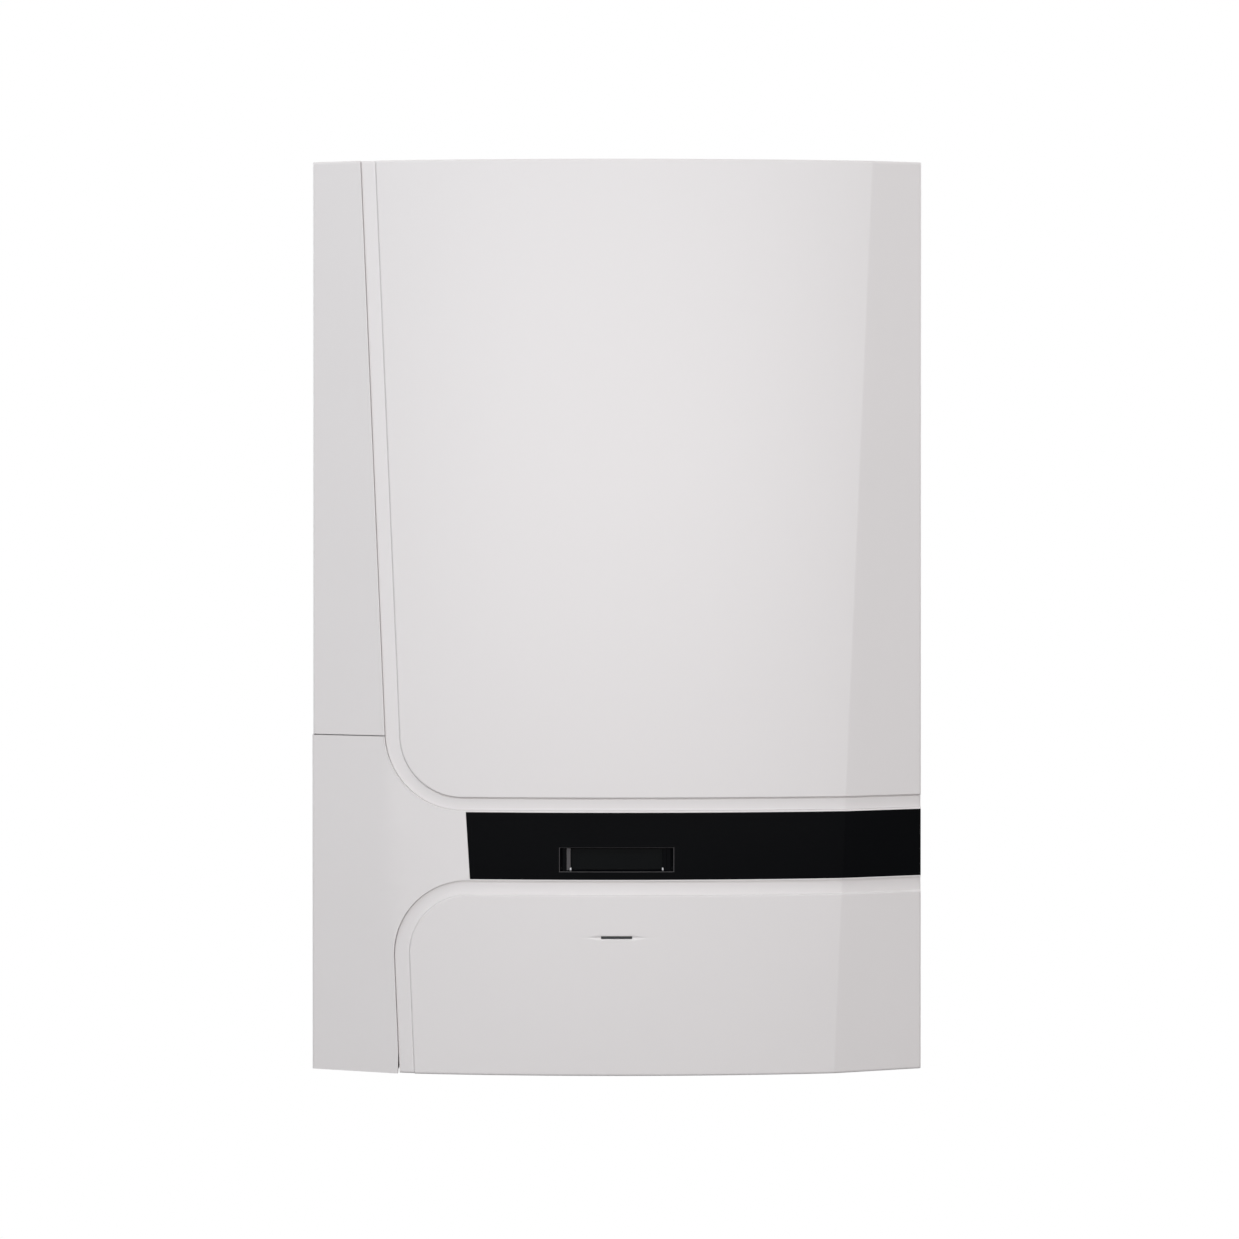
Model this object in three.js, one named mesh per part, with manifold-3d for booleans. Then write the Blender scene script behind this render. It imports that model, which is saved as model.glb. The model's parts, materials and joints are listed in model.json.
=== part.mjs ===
// Wall-hung condensing combi boiler, in millimetres, +Z up.
// X runs to the right as seen from the front, the wall is the plane Y = 0 and the front faces -Y.
// The origin is the middle of the wall bracket's back face. Inside this file heights are counted
// from the bottom of the casing, and the whole model is lowered by hangHeight at the end.
import * as THREE from 'three';
import { mergeVertices } from 'three/addons/utils/BufferGeometryUtils.js';
import { ConvexGeometry } from 'three/addons/geometries/ConvexGeometry.js';
import Module from 'manifold-3d';

const wasm = await Module();
wasm.setup();

// ---------- driving dimensions ----------
const caseWidth = 450;
const caseHeight = 670;
const caseDepth = 450; // from the wall to the middle of the bowed front
const bracketDrop = 70; // from the top of the casing down to the bracket's middle
const hangHeight = caseHeight - bracketDrop;
const sheet = 1.2; // steel sheet of the casing
const fit = 0.3; // between two pieces that touch

// front mouldings
const bowRadius = 1100; // plan radius of the middle of the front
const creaseAtBottom = 159.6; // half width of the bowed middle at the bottom
const creaseAtTop = 188.3; // and at the top: the side facets narrow upwards
const facetSlope = 0.34; // depth lost for each unit of width across a side facet
const skin = 2.5; // wall of a moulding
const rim = 5.5; // full depth of a moulding's edge
const borderDepth = 3; // how far the recessed borders lie behind the surface
const parting = 0.7; // gap seen between two mouldings
const returnWall = 2.3; // wall of the deep sides of the cover
const coverSides = 95; // depth of the cover's sides, behind its foremost line
const coverBack = caseDepth - coverSides; // depth from the wall to the rear edge of the cover
const borderWidth = 10.6;
const upperBorderBottom = 193.5;
const upperCornerRadius = 57;
const lowerBorderTop = 142.2;
const lowerCornerRadius = 54.5;
const trimBottom = 248.2; // lower end of the left trim
const trimStep = 0.7; // the trim's side lies this far inside the bridge panel's side

// control strip and display
const stripTop = 192.3;
const stripBottom = 143.3;
const stripTopLeft = -110.4;
const stripBottomLeft = -107.3;
const stripThickness = 2.9;
const windowHeight = 158; // middle of the display window
const windowWidth = 84;
const windowTall = 18;
const windowInnerWidth = 67;
const windowInnerTall = 15;
const windowDepth = 9.5;
const windowWall = 1.6;

// flap
const flapAxisDepth = coverBack + 53; // hinge axis, from the wall
const flapAxisHeight = 10;
const flapReturn = 14; // depth of the flap's right side wall
const flapPinRadius = 2.5;
const flapPinLength = 4;
const flapLugRadius = 5;
const lightSlotWidth = 22.7;
const lightSlotTall = 2.1;
const lightSlotHeight = 101.1;
const lightSlotWing = 10.5; // how far each dent runs out beside the slot
const latchHeight = 129.5;
const swingRelief = 0.9; // lowest stretch beside the flap, cut back so that its edge passes
const swingReliefTall = 16;

// chassis
const casingFront = coverBack - 2; // depth from the wall to the front flanges
const casingBack = 9.3;
const flangeWidth = 15;
const floorHeight = 5.4; // underside of the bottom panel
const backPanelDepth = 10.8; // rear face of the back panel

// flue
const flueDepth = 105;
const flueOuterRadius = 50;
const flueInnerRadius = 30;
const flueWall = 2.5;
const flueCollarTop = caseHeight + 21;
const flueFlangeRadius = 70;

// heat exchanger
const exchangerLeft = 135 - caseWidth / 2; // room for the vessel and the flow pipe beside it
const exchangerRight = caseWidth / 2 - 115; // room for the silencer
const exchangerBack = 150;
const exchangerFront = coverBack - 65;
const exchangerTop = caseHeight - 110; // room for the hood
const exchangerBottom = exchangerTop - 230;
const finCount = 8;
const hoodHeight = 25;
const trayHeight = 44;

// fan
const fanX = 0;
const fanZ = exchangerTop - 105;
const fanBack = coverBack - 10;
const fanDepth = 50;
const fanRadius = 80; // where the scroll meets the outlet
const scrollStart = 1.13; // angle of the scroll's tongue, radians
const scrollGap = 10; // between the impeller and the tongue
const fanWall = 2.5;
const impellerRadius = 52;
const impellerDepth = 30;
const bladeCount = 12;
const eyeRadius = 30;
const motorRadius = 38;
const motorDepth = 32;

// hydraulics
const connectionPitch = 65; // between neighbouring pipe connections
const connectionDepth = 125; // their distance from the wall
const connectionBottom = -30;
const stubTop = 30; // where the pipes inside meet the unions
const blockBottom = 62;
const blockTop = 150;
const blockWidth = 60;
const blockBack = 90;
const blockFront = 170;
const pipeRadius = 11;
const smallPipeRadius = 7.5;
const gasPipeRadius = 9;
const hoseRadius = 5;
const vesselBackRoom = 35;
const vesselFrontRoom = 18;
const vesselRadius = (casingFront - vesselBackRoom - vesselFrontRoom) / 2;
const vesselThickness = 84;
const vesselDepth = vesselBackRoom + vesselRadius;
const vesselHeight = caseHeight - 190;
const pumpRadius = 44;
const pumpMotorRadius = 40;
const plateCount = 8;

// controls
const boxHalfWidth = 160;
const boxBottom = 66;
const boxTop = 232;
const boxBack = coverBack - 25;
const boxFront = coverBack + 57;
const boxWall = 2.5;
const keyHeight = 112;
const keyPitch = 30;
const keyWidth = 18;
const keyTall = 10;
const keyCorner = 2;
const switchX = 118;
const switchWidth = 20;
const switchTall = 27;

// ---------- colours and finishes ----------
const finishes = {
  whiteMoulding: { color: 0xe4e1e2, roughness: 0.38, metalness: 0 },
  whitePaint: { color: 0xe0dfdf, roughness: 0.45, metalness: 0.1 },
  glossBlack: { color: 0x0f1114, roughness: 0.08, metalness: 0 },
  darkPlastic: { color: 0x26282b, roughness: 0.5, metalness: 0 },
  greyPlastic: { color: 0x8b9096, roughness: 0.55, metalness: 0 },
  lightPlastic: { color: 0xcfd2d4, roughness: 0.5, metalness: 0 },
  rubber: { color: 0x1b1b1c, roughness: 0.85, metalness: 0 },
  zincSteel: { color: 0xa9adb0, roughness: 0.42, metalness: 0.85 },
  castAluminium: { color: 0x9d9fa1, roughness: 0.55, metalness: 0.75 },
  stainless: { color: 0xb9bbbd, roughness: 0.3, metalness: 0.95 },
  copper: { color: 0xb46a41, roughness: 0.35, metalness: 0.95 },
  brass: { color: 0xb5964f, roughness: 0.35, metalness: 0.95 },
  redPaint: { color: 0xa5221f, roughness: 0.45, metalness: 0.1 },
  redPlastic: { color: 0xb3261e, roughness: 0.45, metalness: 0 },
  castGrey: { color: 0x5b5f63, roughness: 0.6, metalness: 0.5 },
  circuitGreen: { color: 0x2f5d3a, roughness: 0.5, metalness: 0 },
  displayGlass: { color: 0x15181a, roughness: 0.12, metalness: 0 },
};

const boiler = new THREE.Group();
boiler.position.z = -hangHeight;

// ---------- solids and booleans ----------
function solid(geometry) {
  const bare = geometry.clone();
  bare.deleteAttribute('normal');
  bare.deleteAttribute('uv');
  const merged = mergeVertices(bare, 1e-4);
  return new wasm.Manifold(new wasm.Mesh({
    numProp: 3,
    vertProperties: Float32Array.from(merged.attributes.position.array),
    triVerts: Uint32Array.from(merged.index.array),
  }));
}

function join(...pieces) {
  return pieces.reduce((whole, piece) => whole.add(piece));
}

function cut(body, ...tools) {
  return tools.reduce((rest, tool) => rest.subtract(tool), body);
}

function addPiece(name, body, finish) {
  const mesh = body.getMesh();
  const geometry = new THREE.BufferGeometry();
  geometry.setAttribute('position', new THREE.BufferAttribute(Float32Array.from(mesh.vertProperties), 3));
  geometry.setIndex(new THREE.BufferAttribute(Uint32Array.from(mesh.triVerts), 1));
  const flat = geometry.toNonIndexed();
  flat.computeVertexNormals();
  const piece = new THREE.Mesh(flat, new THREE.MeshStandardMaterial(finishes[finish]));
  piece.name = name;
  boiler.add(piece);
}

function box(x0, x1, y0, y1, z0, z1) {
  const geometry = new THREE.BoxGeometry(x1 - x0, y1 - y0, z1 - z0);
  return solid(geometry.translate((x0 + x1) / 2, (y0 + y1) / 2, (z0 + z1) / 2));
}

// A cylinder or cone along 'x', 'y' or 'z', from low to high, centred on the other two coordinates.
function rod(axis, u, v, low, high, radius, sides = 20, radiusHigh = radius) {
  const geometry = new THREE.CylinderGeometry(radiusHigh, radius, high - low, sides);
  const middle = (low + high) / 2;
  if (axis === 'x') return solid(geometry.rotateZ(-Math.PI / 2).translate(middle, u, v));
  if (axis === 'y') return solid(geometry.translate(u, middle, v));
  return solid(geometry.rotateX(Math.PI / 2).translate(u, v, middle));
}

// A profile of [radius, height] turned about a vertical axis. It starts and ends on the axis or
// closes on itself, and runs upwards on its outer side.
function turned(profile, x, y, sides = 20) {
  const points = profile.map(([r, z]) => new THREE.Vector2(r, z));
  const geometry = new THREE.LatheGeometry(points, sides);
  return solid(geometry.rotateX(Math.PI / 2).translate(x, y, 0));
}

// The same profile turned about an axis along X, its heights becoming x.
function turnedAlongX(profile, y, z, sides = 24) {
  const points = profile.map(([r, h]) => new THREE.Vector2(r, h));
  const geometry = new THREE.LatheGeometry(points, sides);
  return solid(geometry.rotateZ(-Math.PI / 2).translate(0, y, z));
}

// And about an axis along -Y, its heights becoming distances from the wall.
function turnedForward(profile, x, z, sides = 24) {
  const points = profile.map(([r, depth]) => new THREE.Vector2(r, depth));
  const geometry = new THREE.LatheGeometry(points, sides);
  return solid(geometry.rotateX(Math.PI).translate(x, 0, z));
}

// Flat outlines drawn in XY, XZ or YZ and given a thickness along the third axis.
function plateXY(shape, z0, z1, curveSegments = 3) {
  const geometry = new THREE.ExtrudeGeometry(shape, { depth: z1 - z0, bevelEnabled: false, curveSegments });
  return solid(geometry.translate(0, 0, z0));
}

function plateXZ(shape, y0, y1, curveSegments = 3) {
  const geometry = new THREE.ExtrudeGeometry(shape, { depth: y1 - y0, bevelEnabled: false, curveSegments });
  return solid(geometry.rotateX(Math.PI / 2).translate(0, y1, 0));
}

function plateYZ(shape, x0, x1, curveSegments = 3) {
  const geometry = new THREE.ExtrudeGeometry(shape, { depth: x1 - x0, bevelEnabled: false, curveSegments });
  const turn = new THREE.Matrix4().makeBasis(
    new THREE.Vector3(0, 1, 0),
    new THREE.Vector3(0, 0, 1),
    new THREE.Vector3(1, 0, 0),
  );
  return solid(geometry.applyMatrix4(turn).translate(x0, 0, 0));
}

// A closed outline through corners [x, y, radius]: each corner with a radius is rounded by an arc
// that touches both of its sides.
function outline(corners) {
  const shape = new THREE.Shape();
  corners.forEach(([x, y, radius = 0], i) => {
    const before = corners[(i + corners.length - 1) % corners.length];
    const after = corners[(i + 1) % corners.length];
    const here = new THREE.Vector2(x, y);
    const back = new THREE.Vector2(before[0], before[1]).sub(here).normalize();
    const on = new THREE.Vector2(after[0], after[1]).sub(here).normalize();
    let start = here;
    if (radius > 0) {
      const half = Math.acos(THREE.MathUtils.clamp(back.dot(on), -1, 1)) / 2;
      const reach = radius / Math.tan(half);
      start = here.clone().addScaledVector(back, reach);
      const end = here.clone().addScaledVector(on, reach);
      const inwards = back.clone().add(on).normalize();
      const centre = here.clone().addScaledVector(inwards, radius / Math.sin(half));
      const from = Math.atan2(start.y - centre.y, start.x - centre.x);
      const to = Math.atan2(end.y - centre.y, end.x - centre.x);
      const clockwise = back.cross(on) > 0;
      if (i === 0) shape.moveTo(start.x, start.y);
      else shape.lineTo(start.x, start.y);
      shape.absarc(centre.x, centre.y, radius, from, to, clockwise);
    } else if (i === 0) {
      shape.moveTo(x, y);
    } else {
      shape.lineTo(x, y);
    }
  });
  shape.closePath();
  return shape;
}

function roundedRect(x, y, width, tall, radius) {
  return outline([
    [x - width / 2, y - tall / 2, radius],
    [x + width / 2, y - tall / 2, radius],
    [x + width / 2, y + tall / 2, radius],
    [x - width / 2, y + tall / 2, radius],
  ]);
}

// A pipe's run: straight lengths between bends of one radius. The curve hands ExtrudeGeometry one
// station at each end of every straight length and a few round each bend.
class PipeRun extends THREE.Curve {
  constructor(corners, bendRadius, stepsPerBend = 3) {
    super();
    const points = corners.map((corner) => new THREE.Vector3(...corner));
    this.stations = [points[0]];
    this.tangents = [points[1].clone().sub(points[0]).normalize()];
    for (let i = 1; i < points.length - 1; i += 1) {
      const arriving = points[i].clone().sub(points[i - 1]).normalize();
      const leaving = points[i + 1].clone().sub(points[i]).normalize();
      const angle = arriving.angleTo(leaving);
      const reach = bendRadius * Math.tan(angle / 2);
      const start = points[i].clone().addScaledVector(arriving, -reach);
      const inwards = leaving.clone().sub(arriving).normalize();
      const centre = points[i].clone().addScaledVector(inwards, bendRadius / Math.cos(angle / 2));
      const axis = arriving.clone().cross(leaving).normalize();
      for (let step = 0; step <= stepsPerBend; step += 1) {
        const turn = (angle * step) / stepsPerBend;
        const arm = start.clone().sub(centre).applyAxisAngle(axis, turn);
        this.stations.push(arm.add(centre));
        this.tangents.push(arriving.clone().applyAxisAngle(axis, turn));
      }
    }
    this.stations.push(points[points.length - 1]);
    this.tangents.push(this.tangents[this.tangents.length - 1].clone());
  }

  get steps() {
    return this.stations.length - 1;
  }

  getPoint(t) {
    return this.stations[Math.round(t * this.steps)].clone();
  }

  getPointAt(u) {
    return this.getPoint(u);
  }

  getSpacedPoints() {
    return this.stations.map((station) => station.clone());
  }

  getTangentAt(u) {
    return this.tangents[Math.round(u * this.steps)].clone();
  }
}

function pipe(corners, radius, bendRadius, sides = 10) {
  const run = new PipeRun(corners, bendRadius);
  const section = new THREE.Shape();
  for (let i = 0; i < sides; i += 1) {
    const angle = (2 * Math.PI * i) / sides;
    if (i === 0) section.moveTo(radius, 0);
    else section.lineTo(radius * Math.cos(angle), radius * Math.sin(angle));
  }
  section.closePath();
  return solid(new THREE.ExtrudeGeometry(section, { steps: run.steps, extrudePath: run, bevelEnabled: false }));
}

// ---------- the bowed front ----------
const halfWidth = caseWidth / 2;

function crease(z) {
  return creaseAtBottom + ((creaseAtTop - creaseAtBottom) * z) / caseHeight;
}

// How far the front surface lies behind its middle line.
function bow(x, z) {
  const middle = Math.min(Math.abs(x), crease(z));
  return (middle * middle) / (2 * bowRadius) + facetSlope * Math.max(0, Math.abs(x) - crease(z));
}

// A slab that follows the front, between two depths behind its surface. Its columns are ruled
// lines from below the casing to above it, so that the creases fall on two of them.
const bowColumns = 8;
const slabMargin = 12;
function frontSlab(near, far) {
  const low = -slabMargin;
  const high = caseHeight + slabMargin;
  const reach = halfWidth + slabMargin;
  const shares = [];
  for (let i = 0; i <= bowColumns; i += 1) shares.push((2 * i) / bowColumns - 1);
  const columns = [
    [-reach, -reach],
    ...shares.map((share) => [share * crease(low), share * crease(high)]),
    [reach, reach],
  ];
  const vertices = [];
  columns.forEach(([xLow, xHigh]) => {
    [near, far].forEach((depth) => {
      vertices.push(xLow, depth - caseDepth + bow(xLow, low), low);
      vertices.push(xHigh, depth - caseDepth + bow(xHigh, high), high);
    });
  });
  const faces = [];
  const quad = (a, b, c, d) => faces.push(a, b, c, a, c, d);
  for (let i = 0; i < columns.length - 1; i += 1) {
    const here = 4 * i;
    const next = here + 4;
    quad(here, next, next + 1, here + 1); // front
    quad(here + 2, here + 3, next + 3, next + 2); // back
    quad(here, here + 2, next + 2, next); // bottom
    quad(here + 1, next + 1, next + 3, here + 3); // top
  }
  const last = 4 * (columns.length - 1);
  quad(0, 1, 3, 2);
  quad(last, last + 2, last + 3, last + 1);
  const geometry = new THREE.BufferGeometry();
  geometry.setAttribute('position', new THREE.Float32BufferAttribute(vertices, 3));
  geometry.setIndex(faces);
  return solid(geometry);
}

const farForward = caseDepth + 30;
const deep = caseDepth; // deeper than any part of the cover

// A region of the front, drawn in XZ, as a block reaching back to a distance from the wall.
function frontRegion(shape, backDistance = coverBack, curveSegments = 4) {
  return plateXZ(shape, -farForward, -backDistance, curveSegments);
}

// Upper region: inside the slanted line on the left and above the bridge. 'inset' moves the left
// and lower sides inwards, 'edge' the right and top sides.
function upperRegion(inset, edge = 0) {
  const low = upperBorderBottom + inset;
  return outline([
    [inset - crease(caseHeight), caseHeight - edge],
    [inset - crease(low), low, upperCornerRadius - inset],
    [halfWidth - edge, low],
    [halfWidth - edge, caseHeight - edge],
  ]);
}

// Lower region: the flap's outline, made in the same way. 'edge' moves the right and lower sides.
function lowerRegion(inset, edge = 0) {
  const high = lowerBorderTop - inset;
  return outline([
    [inset - crease(edge), edge],
    [halfWidth - edge, edge],
    [halfWidth - edge, high],
    [inset - crease(high), high, lowerCornerRadius - inset],
  ]);
}

function stripRegion(grow = 0, right = halfWidth) {
  return outline([
    [stripTopLeft - grow, stripTop + grow],
    [stripBottomLeft - grow, stripBottom - grow],
    [right, stripBottom - grow],
    [right, stripTop + grow],
  ]);
}

// Everything within a region from one depth backwards.
function behind(depth, shape, backDistance) {
  return frontSlab(depth, deep).intersect(frontRegion(shape, backDistance));
}

// A moulding with a proud field, a recessed border round part of it, and deep outer sides.
function borderedMoulding(region, backDistance) {
  const field = behind(0, region(borderWidth), backDistance);
  const border = behind(borderDepth, region(parting), backDistance);
  const hollow = behind(skin, region(borderWidth + skin, returnWall), 0);
  const behindBorder = behind(rim, region(-slabMargin, returnWall), 0);
  return cut(join(field, border), hollow, behindBorder);
}

const stripWindow = (() => {
  const depthOf = (depth) => depth - caseDepth;
  const corners = [];
  [[windowWidth, windowTall, -1], [windowInnerWidth, windowInnerTall, windowDepth + 1]].forEach(
    ([wide, tall, depth]) => {
      [-1, 1].forEach((sx) => [-1, 1].forEach((sz) => {
        corners.push(new THREE.Vector3((sx * wide) / 2, depthOf(depth), windowHeight + (sz * tall) / 2));
      }));
    },
  );
  return solid(new ConvexGeometry(corners));
})();
const windowBoxHalfWidth = windowWidth / 2 + windowWall;
const windowBoxHalfTall = windowTall / 2 + windowWall;

function windowOpening(clearance) {
  return box(
    -windowBoxHalfWidth - clearance,
    windowBoxHalfWidth + clearance,
    -farForward,
    0,
    windowHeight - windowBoxHalfTall - clearance,
    windowHeight + windowBoxHalfTall + clearance,
  );
}

function makeMainPanel() {
  addPiece('main_panel', borderedMoulding(upperRegion), 'whiteMoulding');
}

function makeLeftTrim() {
  const region = (inset) => outline([
    [trimStep - halfWidth + inset, trimBottom + inset],
    [-crease(trimBottom) - inset, trimBottom + inset, 3],
    [-crease(caseHeight) - inset, caseHeight - inset],
    [trimStep - halfWidth + inset, caseHeight - inset],
  ]);
  const openSides = outline([
    [trimStep - halfWidth + returnWall, trimBottom - slabMargin],
    [0, trimBottom - slabMargin],
    [0, caseHeight - returnWall],
    [trimStep - halfWidth + returnWall, caseHeight - returnWall],
  ]);
  const whole = behind(0, region(0));
  const hollow = behind(skin, region(returnWall), 0);
  addPiece('left_trim', cut(whole, hollow, behind(rim, openSides, 0)), 'whiteMoulding');
}

function makeBridgePanel() {
  const top = trimBottom - 2 * parting;
  const leftZone = (inset) => outline([
    [inset - halfWidth, inset],
    [-crease(0) - swingRelief - inset, inset],
    [-crease(swingReliefTall) - inset, swingReliefTall],
    [-crease(lowerBorderTop) - inset, lowerBorderTop + inset, lowerCornerRadius],
    [stripBottomLeft - 2 * inset, lowerBorderTop + inset],
    [stripTopLeft - 2 * inset, upperBorderBottom - inset],
    [-crease(upperBorderBottom) - inset, upperBorderBottom - inset, upperCornerRadius],
    [-crease(top) - inset, top - inset, 3],
    [inset - halfWidth, top - inset],
  ]);
  const region = outline([
    [-halfWidth, 0],
    [-crease(0) - swingRelief, 0],
    [-crease(swingReliefTall), swingReliefTall],
    [-crease(lowerBorderTop), lowerBorderTop, lowerCornerRadius],
    [halfWidth, lowerBorderTop],
    [halfWidth, upperBorderBottom],
    [-crease(upperBorderBottom), upperBorderBottom, upperCornerRadius],
    [-crease(top), top, 3],
    [-halfWidth, top],
  ]);
  const openSides = outline([
    [returnWall - halfWidth, returnWall],
    [halfWidth - returnWall, returnWall],
    [halfWidth - returnWall, top + slabMargin],
    [returnWall - halfWidth, top + slabMargin],
  ]);
  const whole = behind(0, region);
  const pocketDepth = stripThickness + fit;
  const pocket = cut(frontRegion(stripRegion(fit, halfWidth + slabMargin), 0), frontSlab(pocketDepth, deep));
  const panel = cut(
    whole,
    behind(skin, leftZone(returnWall), 0),
    behind(rim, openSides, 0),
    pocket,
    windowOpening(fit),
  );
  addPiece('bridge_panel', panel, 'whiteMoulding');
}

function makeControlStrip() {
  const face = behind(0, stripRegion()).intersect(frontSlab(0, stripThickness));
  const windowBox = box(
    -windowBoxHalfWidth,
    windowBoxHalfWidth,
    -farForward,
    windowDepth - caseDepth,
    windowHeight - windowBoxHalfTall,
    windowHeight + windowBoxHalfTall,
  ).intersect(frontSlab(1, deep));
  addPiece('control_strip', cut(join(face, windowBox), stripWindow), 'glossBlack');
}

const hingeY = -flapAxisDepth;
const leftPinX = -crease(flapAxisHeight) + 10;
const rightPinX = halfWidth - 12;
const lugWidth = 3.5;
const earWidth = 3;
const earX = [leftPinX - fit - earWidth, rightPinX + fit];

function flapLug(inner, outer, x) {
  const frontAtLug = bow(x, flapAxisHeight) - caseDepth + skin - 0.5;
  const arm = outline([
    [frontAtLug, returnWall],
    [hingeY, flapAxisHeight - flapLugRadius],
    [hingeY, flapAxisHeight + flapLugRadius],
    [frontAtLug, flapAxisHeight + 3 * flapLugRadius],
  ]);
  return join(plateYZ(arm, inner, outer), rod('x', hingeY, flapAxisHeight, inner, outer, flapLugRadius, 12));
}

function makeFlap() {
  const shell = borderedMoulding(lowerRegion, coverBack);
  const returnDepth = bow(halfWidth, 0) - caseDepth + flapReturn;
  const slot = plateXZ(
    roundedRect(0, lightSlotHeight, lightSlotWidth, lightSlotTall, lightSlotTall / 2 - 0.01),
    -farForward,
    0,
    2,
  );
  const wingTip = lightSlotWidth / 2 + lightSlotWing;
  const dent = solid(new ConvexGeometry([
    new THREE.Vector3(-wingTip, -caseDepth, lightSlotHeight),
    new THREE.Vector3(wingTip, -caseDepth, lightSlotHeight),
    new THREE.Vector3(0, 1.3 - caseDepth, lightSlotHeight),
    new THREE.Vector3(0, -1 - caseDepth, lightSlotHeight + lightSlotTall),
    new THREE.Vector3(0, -1 - caseDepth, lightSlotHeight - lightSlotTall),
  ]));
  const leftLug = flapLug(leftPinX, leftPinX + lugWidth, leftPinX);
  const rightLug = flapLug(rightPinX - lugWidth, rightPinX, rightPinX);
  const pin = (from) => rod('x', hingeY, flapAxisHeight, from, from + flapPinLength + 0.5, flapPinRadius, 12);
  const latch = (x) => box(
    x,
    x + 12,
    bow(x, latchHeight) - caseDepth + skin - 0.4,
    bow(x, latchHeight) - caseDepth + rim + 5,
    latchHeight - 2.5,
    latchHeight,
  );
  const flap = cut(
    join(
      shell.intersect(box(-halfWidth, halfWidth, -farForward, returnDepth, -1, caseHeight)),
      leftLug,
      rightLug,
      pin(leftPinX - flapPinLength),
      pin(rightPinX - 0.5),
      latch(-72),
      latch(60),
    ),
    slot,
    dent,
    ...earX.map((x) => box(x - 0.5, x + earWidth + fit - 0.05, hingeY - 7, 0, -1, returnWall + 0.5)),
  );
  addPiece('flap', flap, 'whiteMoulding');
  const tongue = plateXZ(
    roundedRect(0, lightSlotHeight, lightSlotWidth - 2 * fit, lightSlotTall - 2 * fit, lightSlotTall / 2 - fit - 0.01),
    1.4 - caseDepth,
    skin + 1.5 - caseDepth,
    2,
  );
  const flange = plateXZ(
    roundedRect(0, lightSlotHeight, lightSlotWidth + 8, lightSlotTall + 6, 1.5),
    skin + 2 * fit - caseDepth,
    skin + 2.4 - caseDepth,
    2,
  );
  addPiece('light_guide', join(tongue, flange), 'darkPlastic');
}

const frameWall = 2.5;
const frameHalf = halfWidth - trimStep - returnWall - fit;
const frameLow = returnWall + fit;
const frameHigh = caseHeight - returnWall - fit;
const frameDepth = rim + fit;
const hingeReliefRadius = 14;
const rightBodyLow = flapAxisHeight + hingeReliefRadius;
const upperFrameBar = 268; // top of the frame's cross bar, behind the bridge panel
const screwX = halfWidth - 40;
const screwDepth = casingFront - 13;

function makeCoverFrame() {
  const outer = outline([
    [-frameHalf, frameLow],
    [frameHalf, frameLow],
    [frameHalf, frameHigh],
    [-frameHalf, frameHigh],
  ]);
  const inner = outline([
    [frameWall - frameHalf, frameLow + frameWall],
    [frameHalf - frameWall, frameLow + frameWall],
    [frameHalf - frameWall, frameHigh - frameWall],
    [frameWall - frameHalf, frameHigh - frameWall],
  ]);
  const ring = cut(behind(frameDepth, outer), frontRegion(inner, 0));
  const face = frontSlab(frameDepth, frameDepth + frameWall).intersect(frontRegion(outer, 0));
  const upperOpening = frontRegion(outline([
    [23 - crease(upperFrameBar), upperFrameBar, 20],
    [frameHalf - 22, upperFrameBar, 20],
    [frameHalf - 16, caseHeight - 25, 20],
    [21 - crease(caseHeight), caseHeight - 25, 20],
  ]), 0, 1);
  const flapOpening = frontRegion(outline([
    [-138, 26, 8],
    [frameHalf - 12, 26, 8],
    [frameHalf - 12, latchHeight + 2.5, 8],
    [-138, latchHeight + 2.5, 30],
  ]), 0, 2);
  const hingeSpace = box(-crease(0) - 1, halfWidth, -farForward, -coverBack - 37, -1, 26);
  const rightSideWall = cut(
    box(frameHalf - 0.5, halfWidth, bow(halfWidth, 0) - caseDepth + flapReturn + 2 * fit, -coverBack, 0, lowerBorderTop - parting),
    box(0, halfWidth + 1, -farForward, -coverBack - 37, -1, rightBodyLow),
  );
  const rearFlange = cut(
    box(-frameHalf, frameHalf, -coverBack - frameWall, -coverBack, frameLow, frameHigh),
    box(-frameHalf + 12, frameHalf - 12, -coverBack - 5, 0, frameLow + 12, frameHigh - 12),
  );
  const ear = (x) => cut(
    join(
      box(x, x + earWidth, hingeY, 3 - coverBack - 37, flapAxisHeight - 4, flapAxisHeight + 5.5),
      rod('x', hingeY, flapAxisHeight, x, x + earWidth, 5.5, 12),
      box(x, x + earWidth, -coverBack - 37, -coverBack - 20, frameLow, flapAxisHeight + 5.5),
    ),
    rod('x', hingeY, flapAxisHeight, x - 1, x + 4, flapPinRadius + fit, 12),
  );
  const tongue = (x) => cut(
    box(x - 15, x + 15, -coverBack - 1, -screwDepth + 12, frameLow, frameLow + frameWall),
    rod('z', x, -screwDepth, 0, 10, 3.4, 12),
  );
  const frame = join(
    cut(join(ring, face), upperOpening, flapOpening, hingeSpace, windowOpening(2)),
    rightSideWall,
    rearFlange,
    ...earX.map(ear),
    tongue(-screwX),
    tongue(screwX),
  );
  addPiece('cover_frame', frame, 'lightPlastic');

  const sealBack = casingFront + fit;
  const seal = cut(
    box(-frameHalf + 2, frameHalf - 2, fit - coverBack, -sealBack, frameLow + 4, frameHigh - 2),
    box(-frameHalf + 11, frameHalf - 11, -coverBack - 5, 0, frameLow + 12, frameHigh - 11),
  );
  addPiece('cover_seal', seal, 'rubber');
}

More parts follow.
